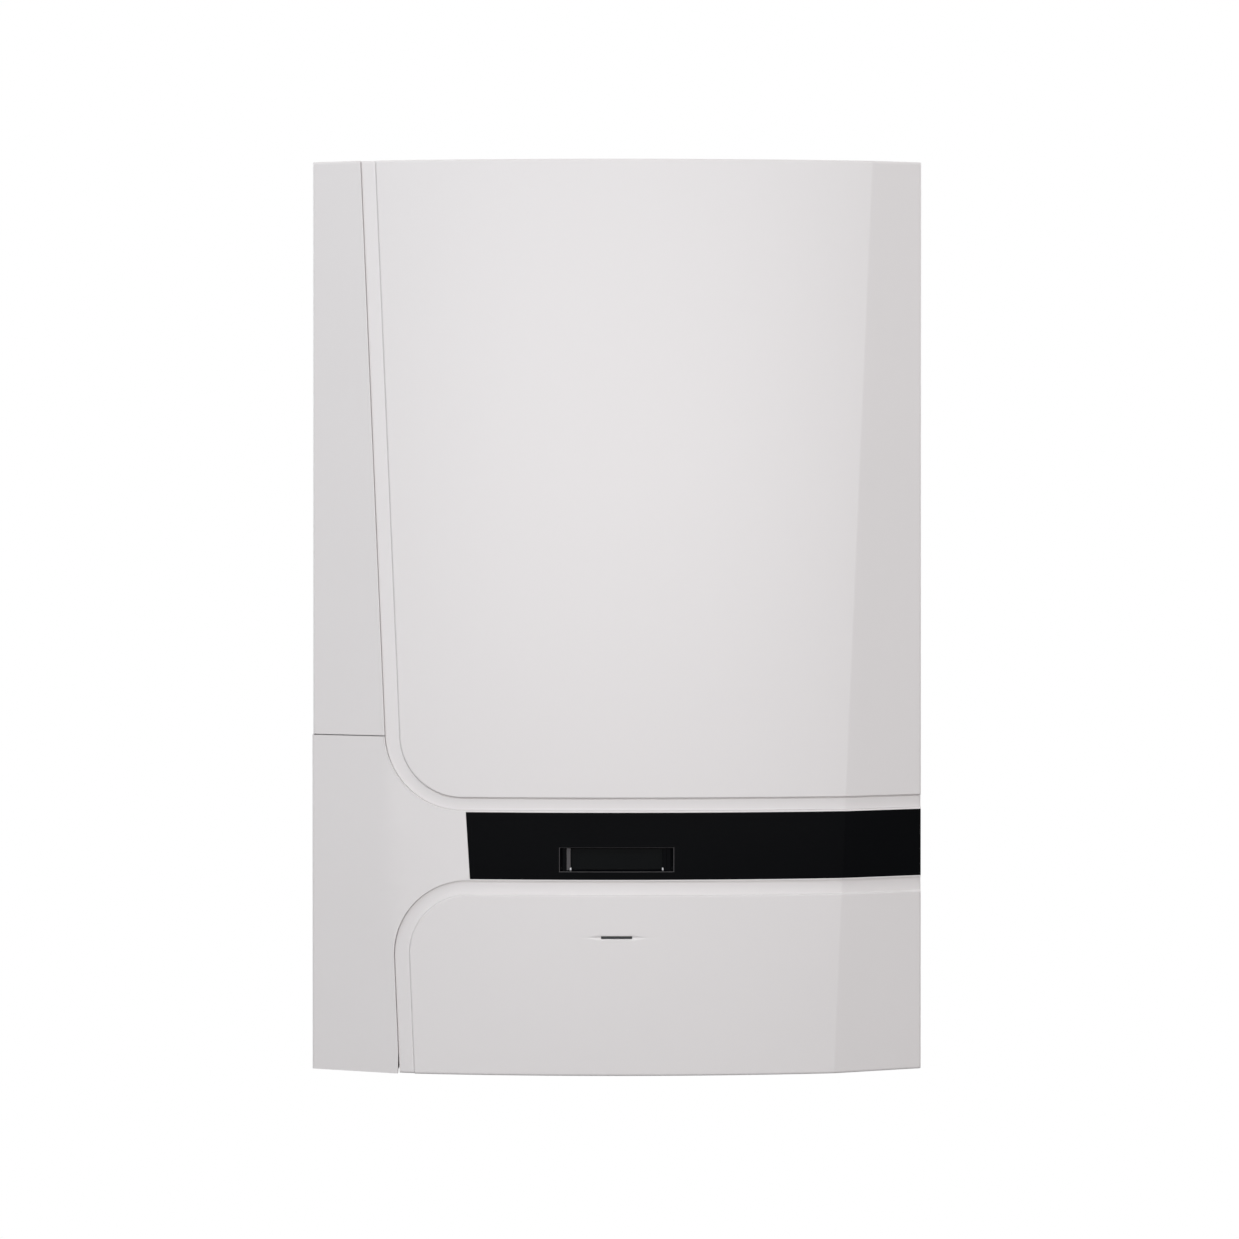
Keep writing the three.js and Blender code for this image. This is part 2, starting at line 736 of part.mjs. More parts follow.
function makeCoverScrews() {
  const headTop = frameLow - fit;
  const barLow = floorHeight + sheet + fit;
  [['cover_screw_left', -screwX], ['cover_screw_right', screwX]].forEach(([name, x]) => {
    const body = turned([
      [0, 0.3],
      [6, 0.3],
      [7.5, 1],
      [7.5, headTop],
      [3, headTop],
      [3, barLow + 4],
      [0, barLow + 4],
    ], x, -screwDepth, 12);
    const bar = box(x - 7.5, x + 7.5, -screwDepth - 1.8, -screwDepth + 1.8, barLow, barLow + 2.6);
    const driverSlot = box(x - 5, x + 5, -screwDepth - 0.6, -screwDepth + 0.6, 0, 1.3);
    addPiece(name, cut(join(body, bar), driverSlot), 'zincSteel');
  });
}

// ---------- chassis ----------
const bracketSheet = 1.8;
const bracketDepth = 9;
const bracketTall = 50;
const bracketTop = hangHeight + 40;
const fixingPitch = 220; // between the two wall screws
function makeWallBracket() {
  const half = 150;
  const low = hangHeight - bracketTall / 2;
  const high = hangHeight + bracketTall / 2;
  const lip = plateYZ(outline([
    [0, low],
    [0, high],
    [bracketSheet - bracketDepth, high],
    [bracketSheet - bracketDepth, bracketTop],
    [-bracketDepth, bracketTop],
    [-bracketDepth, high - bracketSheet],
    [-bracketSheet, high - bracketSheet],
    [-bracketSheet, low],
  ]), -half, half);
  const fixing = (x) => plateXZ(roundedRect(x, hangHeight - 8, 18, 8, 3.9), -3, 1, 2);
  const notch = box(-45, 45, -10, -6, hangHeight + 20, hangHeight + 45);
  addPiece('wall_bracket', cut(lip, fixing(-fixingPitch / 2), fixing(fixingPitch / 2), notch), 'zincSteel');
}

const supportX = [exchangerLeft + 16, exchangerRight - 18];
const footX = halfWidth - 75;
function makeBackPanel() {
  const front = -backPanelDepth - sheet;
  const edge = halfWidth - sheet - fit;
  const low = floorHeight + sheet + fit;
  const high = caseHeight - sheet - fit;
  const plate = box(-edge, edge, front, -backPanelDepth, low, high);
  const hook = (x) => plateYZ(outline([
    [-backPanelDepth - 0.5, hangHeight + 43],
    [-3.4, hangHeight + 43],
    [-3.4, hangHeight + 27],
    [-5.6, hangHeight + 27],
    [-5.6, hangHeight + 40 + fit],
    [-backPanelDepth - 0.5, hangHeight + 40 + fit],
  ]), x - 30, x + 30);
  const foot = (x) => turnedForward([
    [0, 0],
    [11, 0],
    [17, backPanelDepth + 0.2],
    [0, backPanelDepth + 0.2],
  ], x, 62, 12);
  const footHollow = (x) => turnedForward([
    [0, sheet],
    [10, sheet],
    [16, backPanelDepth + 2],
    [0, backPanelDepth + 2],
  ], x, 62, 12);
  const bead = (z) => plateYZ(outline([
    [-backPanelDepth - 0.2, z - 9],
    [-backPanelDepth + 3, z - 5],
    [-backPanelDepth + 3, z + 5],
    [-backPanelDepth - 0.2, z + 9],
  ]), -170, 170);
  const beadHollow = (z) => plateYZ(outline([
    [-backPanelDepth - 2, z - 9],
    [-backPanelDepth + 3 - sheet, z - 4.2],
    [-backPanelDepth + 3 - sheet, z + 4.2],
    [-backPanelDepth - 2, z + 9],
  ]), -169, 169);
  const support = (x) => {
    const top = exchangerTop - 20;
    const arm = box(x - 14, x + 14, fit - exchangerBack, front + 0.2, top - 60, top);
    const inside = box(x - 12, x + 20, fit - exchangerBack + 2, front - 2, top - 70, top + 10);
    return cut(arm, inside);
  };
  const beads = [180, 300, 420];
  const whole = join(
    plate,
    hook(-95),
    hook(95),
    foot(-footX),
    foot(footX),
    ...beads.map(bead),
    ...supportX.map(support),
  );
  addPiece('back_panel', cut(whole, footHollow(-footX), footHollow(footX), ...beads.map(beadHollow)), 'zincSteel');
}

function makeSidePanels() {
  [['side_panel_left', -1], ['side_panel_right', 1]].forEach(([name, side]) => {
    const profile = outline([
      [side * halfWidth, -casingBack],
      [side * halfWidth, -casingFront],
      [side * (halfWidth - flangeWidth), -casingFront],
      [side * (halfWidth - flangeWidth), -casingFront + sheet],
      [side * (halfWidth - sheet), -casingFront + sheet],
      [side * (halfWidth - sheet), -casingBack - sheet],
      [side * (halfWidth - flangeWidth), -casingBack - sheet],
      [side * (halfWidth - flangeWidth), -casingBack],
    ]);
    addPiece(name, plateXY(profile, 0, caseHeight), 'whitePaint');
  });
}

function makeTopPanel() {
  const edge = halfWidth - sheet - fit;
  const flangeEdge = halfWidth - flangeWidth - fit;
  const plate = box(-edge, edge, -casingFront + sheet + fit, -casingBack - sheet - fit, caseHeight - sheet, caseHeight);
  const lip = box(-flangeEdge, flangeEdge, -casingFront, -casingFront + sheet, caseHeight - flangeWidth, caseHeight);
  const bridge = box(-flangeEdge, flangeEdge, -casingFront, -casingFront + 4, caseHeight - sheet, caseHeight);
  const flueHole = rod('z', 0, -flueDepth, caseHeight - 5, caseHeight + 5, flueOuterRadius + flueWall + 1, 20);
  addPiece('top_panel', cut(join(plate, bridge, lip), flueHole), 'whitePaint');
}

const connectionX = [-2, -1, 0, 1, 2].map((step) => step * connectionPitch);
const nutRadius = 13;
const siphonX = exchangerLeft + 30;
const siphonDepth = exchangerFront - 40;
const drainRadius = 10;
const reliefX = 181;
const glandX = [0, 1, 2].map((step) => 29 - halfWidth + 28 * step);
const glandDepth = casingFront - 63;
const glandRadius = 8;

function makeBottomPanel() {
  const edge = halfWidth - sheet - fit;
  const flangeEdge = halfWidth - flangeWidth - fit;
  const top = floorHeight + sheet;
  const plate = box(-edge, edge, -casingFront + sheet + fit, -casingBack - sheet - fit, floorHeight, top);
  const lip = box(-flangeEdge, flangeEdge, -casingFront, -casingFront + sheet, floorHeight, floorHeight + flangeWidth);
  const bridge = box(-flangeEdge, flangeEdge, -casingFront, -casingFront + 4, floorHeight, top);
  const hole = (x, depth, radius) => rod('z', x, -depth, 0, 12, radius, 12);
  const screwNotch = (x) => join(
    box(x - 4, x + 4, -casingFront - 1, -screwDepth, 0, top + 1),
    rod('z', x, -screwDepth, 0, top + 1, 4, 10),
    box(x - 12, x + 12, -casingFront - 1, -casingFront + sheet + 1, top, floorHeight + flangeWidth + 1),
  );
  const panel = cut(
    join(plate, bridge, lip),
    ...connectionX.map((x) => hole(x, connectionDepth, nutRadius + 0.8)),
    hole(siphonX, siphonDepth, drainRadius + 0.8),
    hole(reliefX, connectionDepth, smallPipeRadius + 0.8),
    ...glandX.map((x) => hole(x, glandDepth, glandRadius + fit)),
    screwNotch(-screwX),
    screwNotch(screwX),
  );
  addPiece('bottom_panel', panel, 'whitePaint');
}

function makeCableGlands() {
  const gland = (x) => {
    const low = floorHeight;
    const high = floorHeight + sheet;
    return turned([
      [3.5, low - 12],
      [6, low - 12],
      [glandRadius, low - 7],
      [glandRadius, high + 6],
      [3.5, high + 6],
      [3.5, low - 12],
    ], x, -glandDepth, 10);
  };
  const top = floorHeight + sheet + fit;
  const plate = cut(
    box(glandX[0] - 12, glandX[2] + 12, -glandDepth - 12, -glandDepth + 12, top, top + 2),
    ...glandX.map((x) => rod('z', x, -glandDepth, 0, 20, 5, 12)),
  );
  addPiece('cable_glands', join(plate, ...glandX.map(gland)), 'darkPlastic');
}

// ---------- flue ----------
const sealGroove = flueCollarTop - 11;
const flueSocketBottom = caseHeight - 30;
const capAngles = [0.25 * Math.PI, 0.75 * Math.PI];
const capReach = flueFlangeRadius - 9;

function makeFlue() {
  const flangeLow = caseHeight + fit;
  const collarBottom = caseHeight - 20;
  const bore = flueInnerRadius + fit;
  const collar = turned([
    [flueOuterRadius, collarBottom],
    [flueOuterRadius + flueWall, collarBottom],
    [flueOuterRadius + flueWall, flangeLow],
    [flueFlangeRadius, flangeLow],
    [flueFlangeRadius, flangeLow + 3],
    [flueOuterRadius + flueWall, flangeLow + 3],
    [flueOuterRadius + flueWall, flueCollarTop],
    [flueOuterRadius, flueCollarTop],
    [flueOuterRadius, collarBottom],
  ], 0, -flueDepth, 20);
  const socket = turned([
    [bore, flueSocketBottom],
    [bore + flueWall, flueSocketBottom],
    [bore + flueWall + 2, sealGroove - 5],
    [bore + flueWall + 2, flueCollarTop - 4],
    [bore, flueCollarTop - 4],
    [bore, sealGroove + 3],
    [bore + 1.8, sealGroove + 3],
    [bore + 1.8, sealGroove - 3],
    [bore, sealGroove - 3],
    [bore, flueSocketBottom],
  ], 0, -flueDepth, 20);
  const spokes = [0, 1, 2, 3].map((i) => {
    const geometry = new THREE.BoxGeometry(flueOuterRadius - bore - 1.2, 2, 14);
    geometry.translate((flueOuterRadius + bore + flueWall) / 2, 0, collarBottom + 8);
    return solid(geometry.rotateZ((i * Math.PI) / 2 + Math.PI / 4).translate(0, -flueDepth, 0));
  });
  const capX = (angle) => capReach * Math.cos(angle);
  const capY = (angle) => -flueDepth + capReach * Math.sin(-angle);
  const bosses = capAngles.map((angle) => rod('z', capX(angle), capY(angle), flangeLow + 1, flangeLow + 8, 6, 10));
  addPiece('flue_adapter', join(collar, socket, ...spokes, ...bosses), 'whiteMoulding');

  const seal = turned([
    [bore - 0.2, sealGroove - 2],
    [bore + 1.5, sealGroove - 2.7],
    [bore + 1.5, sealGroove + 2.7],
    [bore - 0.2, sealGroove + 2],
    [bore - 1.4, sealGroove],
    [bore - 0.2, sealGroove - 2],
  ], 0, -flueDepth, 20);
  addPiece('flue_seal', seal, 'rubber');

  const caps = capAngles.map((angle) => turned([
    [0, flangeLow + 8 + fit],
    [7.5, flangeLow + 8 + fit],
    [7.5, flangeLow + 12],
    [6.5, flangeLow + 13],
    [0, flangeLow + 13],
  ], capX(angle), capY(angle), 12));
  const strapShape = new THREE.Shape();
  strapShape.absarc(0, -flueDepth, capReach + 2, -capAngles[0], -capAngles[1], true);
  strapShape.absarc(0, -flueDepth, capReach - 2, -capAngles[1], -capAngles[0], false);
  strapShape.closePath();
  const strap = plateXY(strapShape, flangeLow + 9.5, flangeLow + 11, 4);
  addPiece('test_point_caps', join(...caps, strap), 'darkPlastic');

  const pipeLow = exchangerBottom - trayHeight + 8;
  const pipeHigh = sealGroove - 18;
  const flue = turned([
    [flueInnerRadius - 2, pipeLow],
    [flueInnerRadius, pipeLow],
    [flueInnerRadius, pipeHigh],
    [flueInnerRadius - 2, pipeHigh],
    [flueInnerRadius - 2, pipeLow],
  ], 0, -flueDepth, 20);
  addPiece('flue_pipe', flue, 'greyPlastic');
}

// ---------- combustion ----------
const flowPipeDepth = exchangerFront - 70;
const flowPortHeight = exchangerTop - 40;
const pumpHeight = (blockBottom + blockTop) / 2;
const riserDepth = blockFront + 22; // the pump's outlet and the return pipe
const returnPortHeight = exchangerBottom + 22;
const burnerTall = 0.75 * (exchangerFront - exchangerBack - 80);
const burnerCorner = 0.58 * burnerTall;

function makeHeatExchanger() {
  const core = box(
    exchangerLeft + 8,
    exchangerRight - 8,
    -exchangerFront + 8,
    -exchangerBack - 8,
    exchangerBottom,
    exchangerTop,
  );
  const flange = (z0, z1) => plateXY(
    roundedRect(
      (exchangerLeft + exchangerRight) / 2,
      -(exchangerBack + exchangerFront) / 2,
      exchangerRight - exchangerLeft,
      exchangerFront - exchangerBack,
      8,
    ),
    z0,
    z1,
    1,
  );
  const pitch = (exchangerTop - exchangerBottom - 40) / finCount;
  const fins = [];
  for (let i = 0; i < finCount; i += 1) {
    const z = exchangerBottom + 20 + pitch * (i + 0.5);
    fins.push(box(exchangerLeft + 2, exchangerRight - 2, -exchangerFront + 2, -exchangerBack - 2, z - 2, z + 2));
  }
  const chamber = box(
    exchangerLeft + 30,
    exchangerRight - 30,
    -exchangerFront + 30,
    -exchangerBack - 30,
    exchangerTop - burnerTall - 25,
    exchangerTop + 5,
  );
  const flowPort = rod('x', -flowPipeDepth, flowPortHeight, exchangerLeft, exchangerLeft + 20, 15, 12);
  const returnPort = rod('x', -riserDepth, returnPortHeight, exchangerRight - 20, exchangerRight, 15, 12);
  const lug = (x) => box(x - 9, x + 9, -exchangerBack - 10, -exchangerBack, exchangerTop - 70, exchangerTop - 30);
  const body = cut(
    join(
      core,
      flange(exchangerBottom, exchangerBottom + 10),
      flange(exchangerTop - 10, exchangerTop),
      ...fins,
      flowPort,
      returnPort,
      ...supportX.map(lug),
    ),
    chamber,
  );
  addPiece('heat_exchanger', body, 'castAluminium');
}

const outletHalf = 20;
const outletX = fanX + fanRadius - outletHalf;
const hoodLow = exchangerTop + fit;

function makeBurnerHood() {
  const middleX = (exchangerLeft + exchangerRight) / 2;
  const middleY = -(exchangerBack + exchangerFront) / 2;
  const wide = exchangerRight - exchangerLeft;
  const across = exchangerFront - exchangerBack;
  const plate = plateXY(roundedRect(middleX, middleY, wide, across, 8), hoodLow, hoodLow + 8, 2);
  const dome = plateXY(roundedRect(middleX, middleY, wide - 30, across - 30, 14), hoodLow + 4, hoodLow + hoodHeight, 3);
  const nose = plateXY(
    outline([
      [outletX - outletHalf - 4, -fanBack - fanDepth + 2, 6],
      [outletX + outletHalf + 4, -fanBack - fanDepth + 2, 6],
      [outletX + outletHalf + 4, middleY],
      [outletX - outletHalf - 4, middleY],
    ]),
    hoodLow,
    hoodLow + hoodHeight + 10,
    3,
  );
  const mouth = box(
    outletX - outletHalf,
    outletX + outletHalf,
    -fanBack - fanDepth + 6,
    -fanBack - 4,
    hoodLow - 1,
    hoodLow + 20,
  );
  const bolts = [exchangerLeft + 8, exchangerRight - 8].flatMap((x) => (
    [-exchangerBack - 8, -exchangerFront + 8].map((y) => rod('z', x, y, hoodLow + 7, hoodLow + 13, 5, 6))
  ));
  addPiece('burner_hood', cut(join(plate, dome, nose, ...bolts), mouth), 'castAluminium');
}

function makeBurner() {
  const front = -exchangerFront + 40;
  const back = -exchangerBack - 40;
  const low = exchangerTop - burnerTall;
  const burner = plateYZ(outline([
    [front, exchangerTop],
    [front, low, burnerCorner],
    [back, low, burnerCorner],
    [back, exchangerTop],
  ]), exchangerLeft + 40, exchangerRight - 40, 3);
  addPiece('burner_tube', burner, 'stainless');
}

function makeElectrode() {
  const x = exchangerLeft + 45;
  const y = -exchangerFront + 35;
  const low = hoodLow + hoodHeight + fit;
  const body = turned([
    [0, low],
    [9, low],
    [9, low + 3],
    [4.5, low + 3],
    [4.5, low + 20],
    [3, low + 24],
    [0, low + 24],
  ], x, y, 12);
  addPiece('ignition_electrode', body, 'lightPlastic');
}

// Fan scroll: its radius grows by a steady rate round the axis until it meets the outlet.
function scrollShape(grow) {
  const shape = new THREE.Shape();
  const steps = 20;
  for (let i = 0; i <= steps; i += 1) {
    const angle = scrollStart + ((2 * Math.PI - scrollStart) * i) / steps;
    const radius = impellerRadius + scrollGap + (fanRadius - impellerRadius - scrollGap) * (i / steps) + grow;
    const x = fanX + radius * Math.cos(angle);
    const z = fanZ + radius * Math.sin(angle);
    if (i === 0) shape.moveTo(x, z);
    else shape.lineTo(x, z);
  }
  shape.lineTo(outletX + outletHalf + grow, exchangerTop - 1);
  shape.lineTo(outletX - outletHalf - grow, exchangerTop - 1);
  shape.lineTo(outletX - outletHalf - grow, fanZ + 62);
  shape.closePath();
  return shape;
}

function makeFan() {
  const front = -fanBack - fanDepth;
  const outer = plateXZ(scrollShape(fanWall), front, -fanBack);
  const hollow = plateXZ(scrollShape(0), front + fanWall, -fanBack - fanWall);
  const outlet = box(outletX - outletHalf, outletX + outletHalf, front + fanWall, -fanBack - fanWall, exchangerTop - 20, exchangerTop + 5);
  const eye = rod('y', fanX, fanZ, -fanBack - 5, -fanBack + 5, eyeRadius - 4, 20);
  const shaftHole = rod('y', fanX, fanZ, front - 5, front + 5, 8, 12);
  const outletFlange = cut(
    box(outletX - outletHalf - 6, outletX + outletHalf + 6, front, -fanBack, exchangerTop - 5, exchangerTop),
    outlet,
  );
  const housing = join(cut(outer, hollow, outlet, eye, shaftHole), outletFlange);
  addPiece('fan_housing', housing, 'castAluminium');

  const wheelBack = -fanBack - fanWall - 5;
  const wheelFront = wheelBack - impellerDepth;
  const backplate = rod('y', fanX, fanZ, wheelFront, wheelFront + 2, impellerRadius, 20);
  const hub = rod('y', fanX, fanZ, wheelFront, wheelFront + 16, 9, 12);
  const shroud = turnedForward([
    [eyeRadius, -wheelBack],
    [impellerRadius, -wheelBack],
    [impellerRadius, -wheelBack + 2],
    [eyeRadius, -wheelBack + 2],
    [eyeRadius, -wheelBack],
  ], fanX, fanZ, 20);
  const blades = [];
  for (let i = 0; i < bladeCount; i += 1) {
    const geometry = new THREE.BoxGeometry(impellerRadius - eyeRadius + 1, impellerDepth - 1, 1.4);
    geometry.rotateY(-0.5).translate((impellerRadius + eyeRadius) / 2 - 0.5, 0, 0);
    geometry.rotateY((2 * Math.PI * i) / bladeCount);
    blades.push(solid(geometry.translate(fanX, (wheelBack + wheelFront) / 2, fanZ)));
  }
  const shaftBore = rod('y', fanX, fanZ, wheelFront - 5, wheelFront + 12, 3 + fit, 12);
  addPiece('fan_impeller', cut(join(backplate, hub, shroud, ...blades), shaftBore), 'darkPlastic');

  const motor = turnedForward([
    [0, -wheelFront - 10],
    [3, -wheelFront - 10],
    [3, -front + fit],
    [motorRadius, -front + fit],
    [motorRadius, -front + motorDepth - 6],
    [motorRadius - 6, -front + motorDepth],
    [0, -front + motorDepth],
  ], fanX, fanZ, 20);
  const plug = box(-12, 12, front - motorDepth + 6, front - 6, fanZ - motorRadius - 8, fanZ - motorRadius + 5);
  addPiece('fan_motor', join(motor, plug), 'darkPlastic');
}

const silencerLeft = exchangerRight + 12;
const silencerRight = halfWidth - 19;
const silencerBottom = fanZ - 23;
const silencerTop = caseHeight - 32;
const silencerWall = 3;
const branchDepth = fanBack - 25;
const branchRadius = 18;
const injectorX = 62; // where the gas joins the air
function makeIntake() {
  const back = exchangerFront + 8;
  const body = rod('y', fanX, fanZ, -fanBack + fit, -back, eyeRadius - 3, 20);
  const branch = rod('x', -branchDepth, fanZ, fanX, silencerLeft - fit, branchRadius, 20);
  const gasBoss = rod('z', injectorX, -branchDepth, fanZ - branchRadius - 6, fanZ, 8, 12);
  const bore = rod('y', fanX, fanZ, -fanBack - 5, -back - 5, eyeRadius - 7, 20);
  const branchBore = rod('x', -branchDepth, fanZ, fanX, silencerLeft + 5, branchRadius - 3, 20);
  addPiece('venturi', cut(join(body, branch, gasBoss), bore, branchBore), 'castAluminium');

  const middleX = (silencerLeft + silencerRight) / 2;
  const middleZ = (silencerBottom + silencerTop) / 2;
  const silencerCase = (inset) => plateXZ(
    roundedRect(
      middleX,
      middleZ,
      silencerRight - silencerLeft - 2 * inset,
      silencerTop - silencerBottom - 2 * inset,
      14 - inset,
    ),
    inset - branchDepth - 28,
    -branchDepth + 45 - inset,
    2,
  );
  const neck = (inset) => plateXY(
    roundedRect(middleX, -branchDepth + 8, 60 - 2 * inset, 50 - 2 * inset, 10 - inset),
    silencerTop - 8 - inset,
    silencerTop + 14 + inset,
    2,
  );
  const silencer = cut(
    join(
      silencerCase(0),
      neck(0),
    ),
    silencerCase(silencerWall),
    neck(silencerWall),
    rod('x', -branchDepth, fanZ, silencerLeft - 5, silencerLeft + 10, branchRadius - 3, 20),
  );
  addPiece('intake_silencer', silencer, 'darkPlastic');
}

const gasValveX = halfWidth - 39;
const gasValveDepth = branchDepth - 20;
const gasValveLow = exchangerBottom;
const supplyHeight = 50; // level run of the gas pipe
function makeGasLine() {
  const left = gasValveX - 28;
  const right = gasValveX + 26;
  const body = box(left, right, -gasValveDepth - 30, -gasValveDepth + 28, gasValveLow + 8, gasValveLow + 78);
  const coil = (x) => rod('y', x, gasValveLow + 58, -gasValveDepth - 46, -gasValveDepth - 29, 11, 12);
  const inlet = rod('z', gasValveX, -gasValveDepth, gasValveLow, gasValveLow + 10, 14, 12);
  const outletPort = rod('x', -branchDepth, gasValveLow + 45, left - 8, left + 2, 9, 12);
  const injector = pipe([
    [left - 6, -branchDepth, gasValveLow + 45],
    [injectorX, -branchDepth, gasValveLow + 45],
    [injectorX, -branchDepth, fanZ - branchRadius - 6 - fit],
  ], 5, 14, 8);
  addPiece('gas_valve', join(body, coil(left + 14), coil(right - 14), inlet, outletPort, injector), 'castAluminium');

  const supply = pipe([
    [0, -connectionDepth, stubTop],
    [0, -connectionDepth, supplyHeight],
    [0, -gasValveDepth, supplyHeight],
    [gasValveX, -gasValveDepth, supplyHeight],
    [gasValveX, -gasValveDepth, gasValveLow - fit],
  ], gasPipeRadius, 19, 10);
  addPiece('gas_pipe', supply, 'stainless');
}

function makeCondensate() {
  const low = exchangerBottom - trayHeight;
  const top = exchangerBottom - fit;
  const area = (grow) => outline([
    [exchangerLeft - grow, -exchangerFront - grow, 8],
    [exchangerRight + grow, -exchangerFront - grow, 8],
    [exchangerRight + grow, -exchangerBack + grow, 8],
    [flueInnerRadius + 10 + grow, -exchangerBack + grow],
    [flueInnerRadius + 10 + grow, -flueDepth + flueInnerRadius + 10 + grow, 8],
    [-flueInnerRadius - 10 - grow, -flueDepth + flueInnerRadius + 10 + grow, 8],
    [-flueInnerRadius - 10 - grow, -exchangerBack + grow],
    [exchangerLeft - grow, -exchangerBack + grow, 8],
  ]);
  const shell = cut(
    plateXY(area(0), low, top, 2),
    plateXY(area(-3), low + 4, top - 4, 2),
    box(exchangerLeft + 20, exchangerRight - 20, -exchangerFront + 20, -exchangerBack - 20, top - 6, top + 5),
    rod('z', 0, -flueDepth, low + 8, top + 5, flueInnerRadius + fit, 20),
  );
  const ledge = cut(
    rod('z', 0, -flueDepth, low + 2, low + 8 - fit, flueInnerRadius + 6, 20),
    rod('z', 0, -flueDepth, low + 1, low + 9, flueInnerRadius - 3, 20),
  );
  const spout = cut(
    rod('z', siphonX, -siphonDepth, low - 22, low + 5, 12, 12),
    rod('z', siphonX, -siphonDepth, low - 25, low + 6, 9, 12),
  );
  addPiece('condensate_tray', join(shell, ledge, spout), 'darkPlastic');

  const siphonTop = low - 22 - fit;
  const shoulder = siphonTop - 64;
  const drainBottom = -25;
  const cupRadius = 23;
  const cupWall = 4;
  const neckRadius = 15;
  const siphon = turned([
    [drainRadius - 2.5, drainBottom],
    [drainRadius, drainBottom],
    [drainRadius, 66],
    [cupRadius + 1, 72],
    [cupRadius + 3, 74],
    [cupRadius + 3, 90],
    [cupRadius, 92],
    [cupRadius, shoulder - 10],
    [neckRadius, shoulder],
    [neckRadius, siphonTop],
    [neckRadius - 5, siphonTop],
    [neckRadius - 5, shoulder - 4],
    [cupRadius - cupWall, shoulder - 14],
    [cupRadius - cupWall, 80],
    [drainRadius - 2.5, 72],
    [drainRadius - 2.5, drainBottom],
  ], siphonX, -siphonDepth, 14);
  addPiece('siphon', siphon, 'greyPlastic');
}

// ---------- water ----------
const vesselX = vesselThickness / 2 + 8 - halfWidth;
const flowPipeX = exchangerLeft - 25;
const returnPipeX = exchangerRight + 37;
const outerConnection = 2 * connectionPitch;
const hoseDepth = 42;
const hoseHeight = 120;
const portHeight = 112; // ports between the blocks, the plate exchanger and the relief valve

function makeVessel() {
  const half = vesselThickness / 2;
  const port = vesselHeight - vesselRadius;
  const shell = turnedAlongX([
    [0, -half],
    [vesselRadius - 45, -half + 3],
    [vesselRadius - 15, -half + 14],
    [vesselRadius - 5, -6],
    [vesselRadius, -5],
    [vesselRadius, 5],
    [vesselRadius - 5, 6],
    [vesselRadius - 15, half - 14],
    [vesselRadius - 45, half - 3],
    [0, half],
  ], -vesselDepth, vesselHeight, 30).translate([vesselX, 0, 0]);
  const nipple = rod('z', vesselX, -vesselDepth, port - 9, port + 8, 7, 12);
  addPiece('expansion_vessel', join(shell, nipple), 'redPaint');

  const arc = new THREE.Shape();
  const inner = vesselRadius + fit;
  const outer = inner + 2.5;
  const from = -Math.PI / 2 + 0.12;
  const to = -0.18 * Math.PI;
  arc.absarc(-vesselDepth, vesselHeight, outer, from, to, false);
  arc.lineTo(-backPanelDepth - sheet - fit, vesselHeight + outer * Math.sin(to));
  arc.lineTo(-backPanelDepth - sheet - fit, vesselHeight + outer * Math.sin(to) + 30);
  arc.lineTo(-backPanelDepth - sheet - fit - 2.5, vesselHeight + outer * Math.sin(to) + 30);
  arc.lineTo(-backPanelDepth - sheet - fit - 2.5, vesselHeight + outer * Math.sin(to) + 4);
  arc.absarc(-vesselDepth, vesselHeight, inner, to, from, true);
  arc.closePath();
  addPiece('vessel_bracket', plateYZ(arc, vesselX - 18, vesselX + 18, 5), 'zincSteel');

  const hose = pipe([
    [vesselX, -vesselDepth, port - 9 - fit],
    [vesselX, -vesselDepth, port - 40],
    [vesselX, -hoseDepth, port - 40],
    [vesselX, -hoseDepth, hoseHeight],
    [outerConnection, -hoseDepth, hoseHeight],
    [outerConnection, -blockBack + fit, hoseHeight],
  ], hoseRadius, 18, 8);
  addPiece('vessel_hose', hose, 'stainless');
}

function blockSpigots(x) {
  return rod('z', x, -connectionDepth, stubTop, blockBottom + 5, pipeRadius, 12);
}

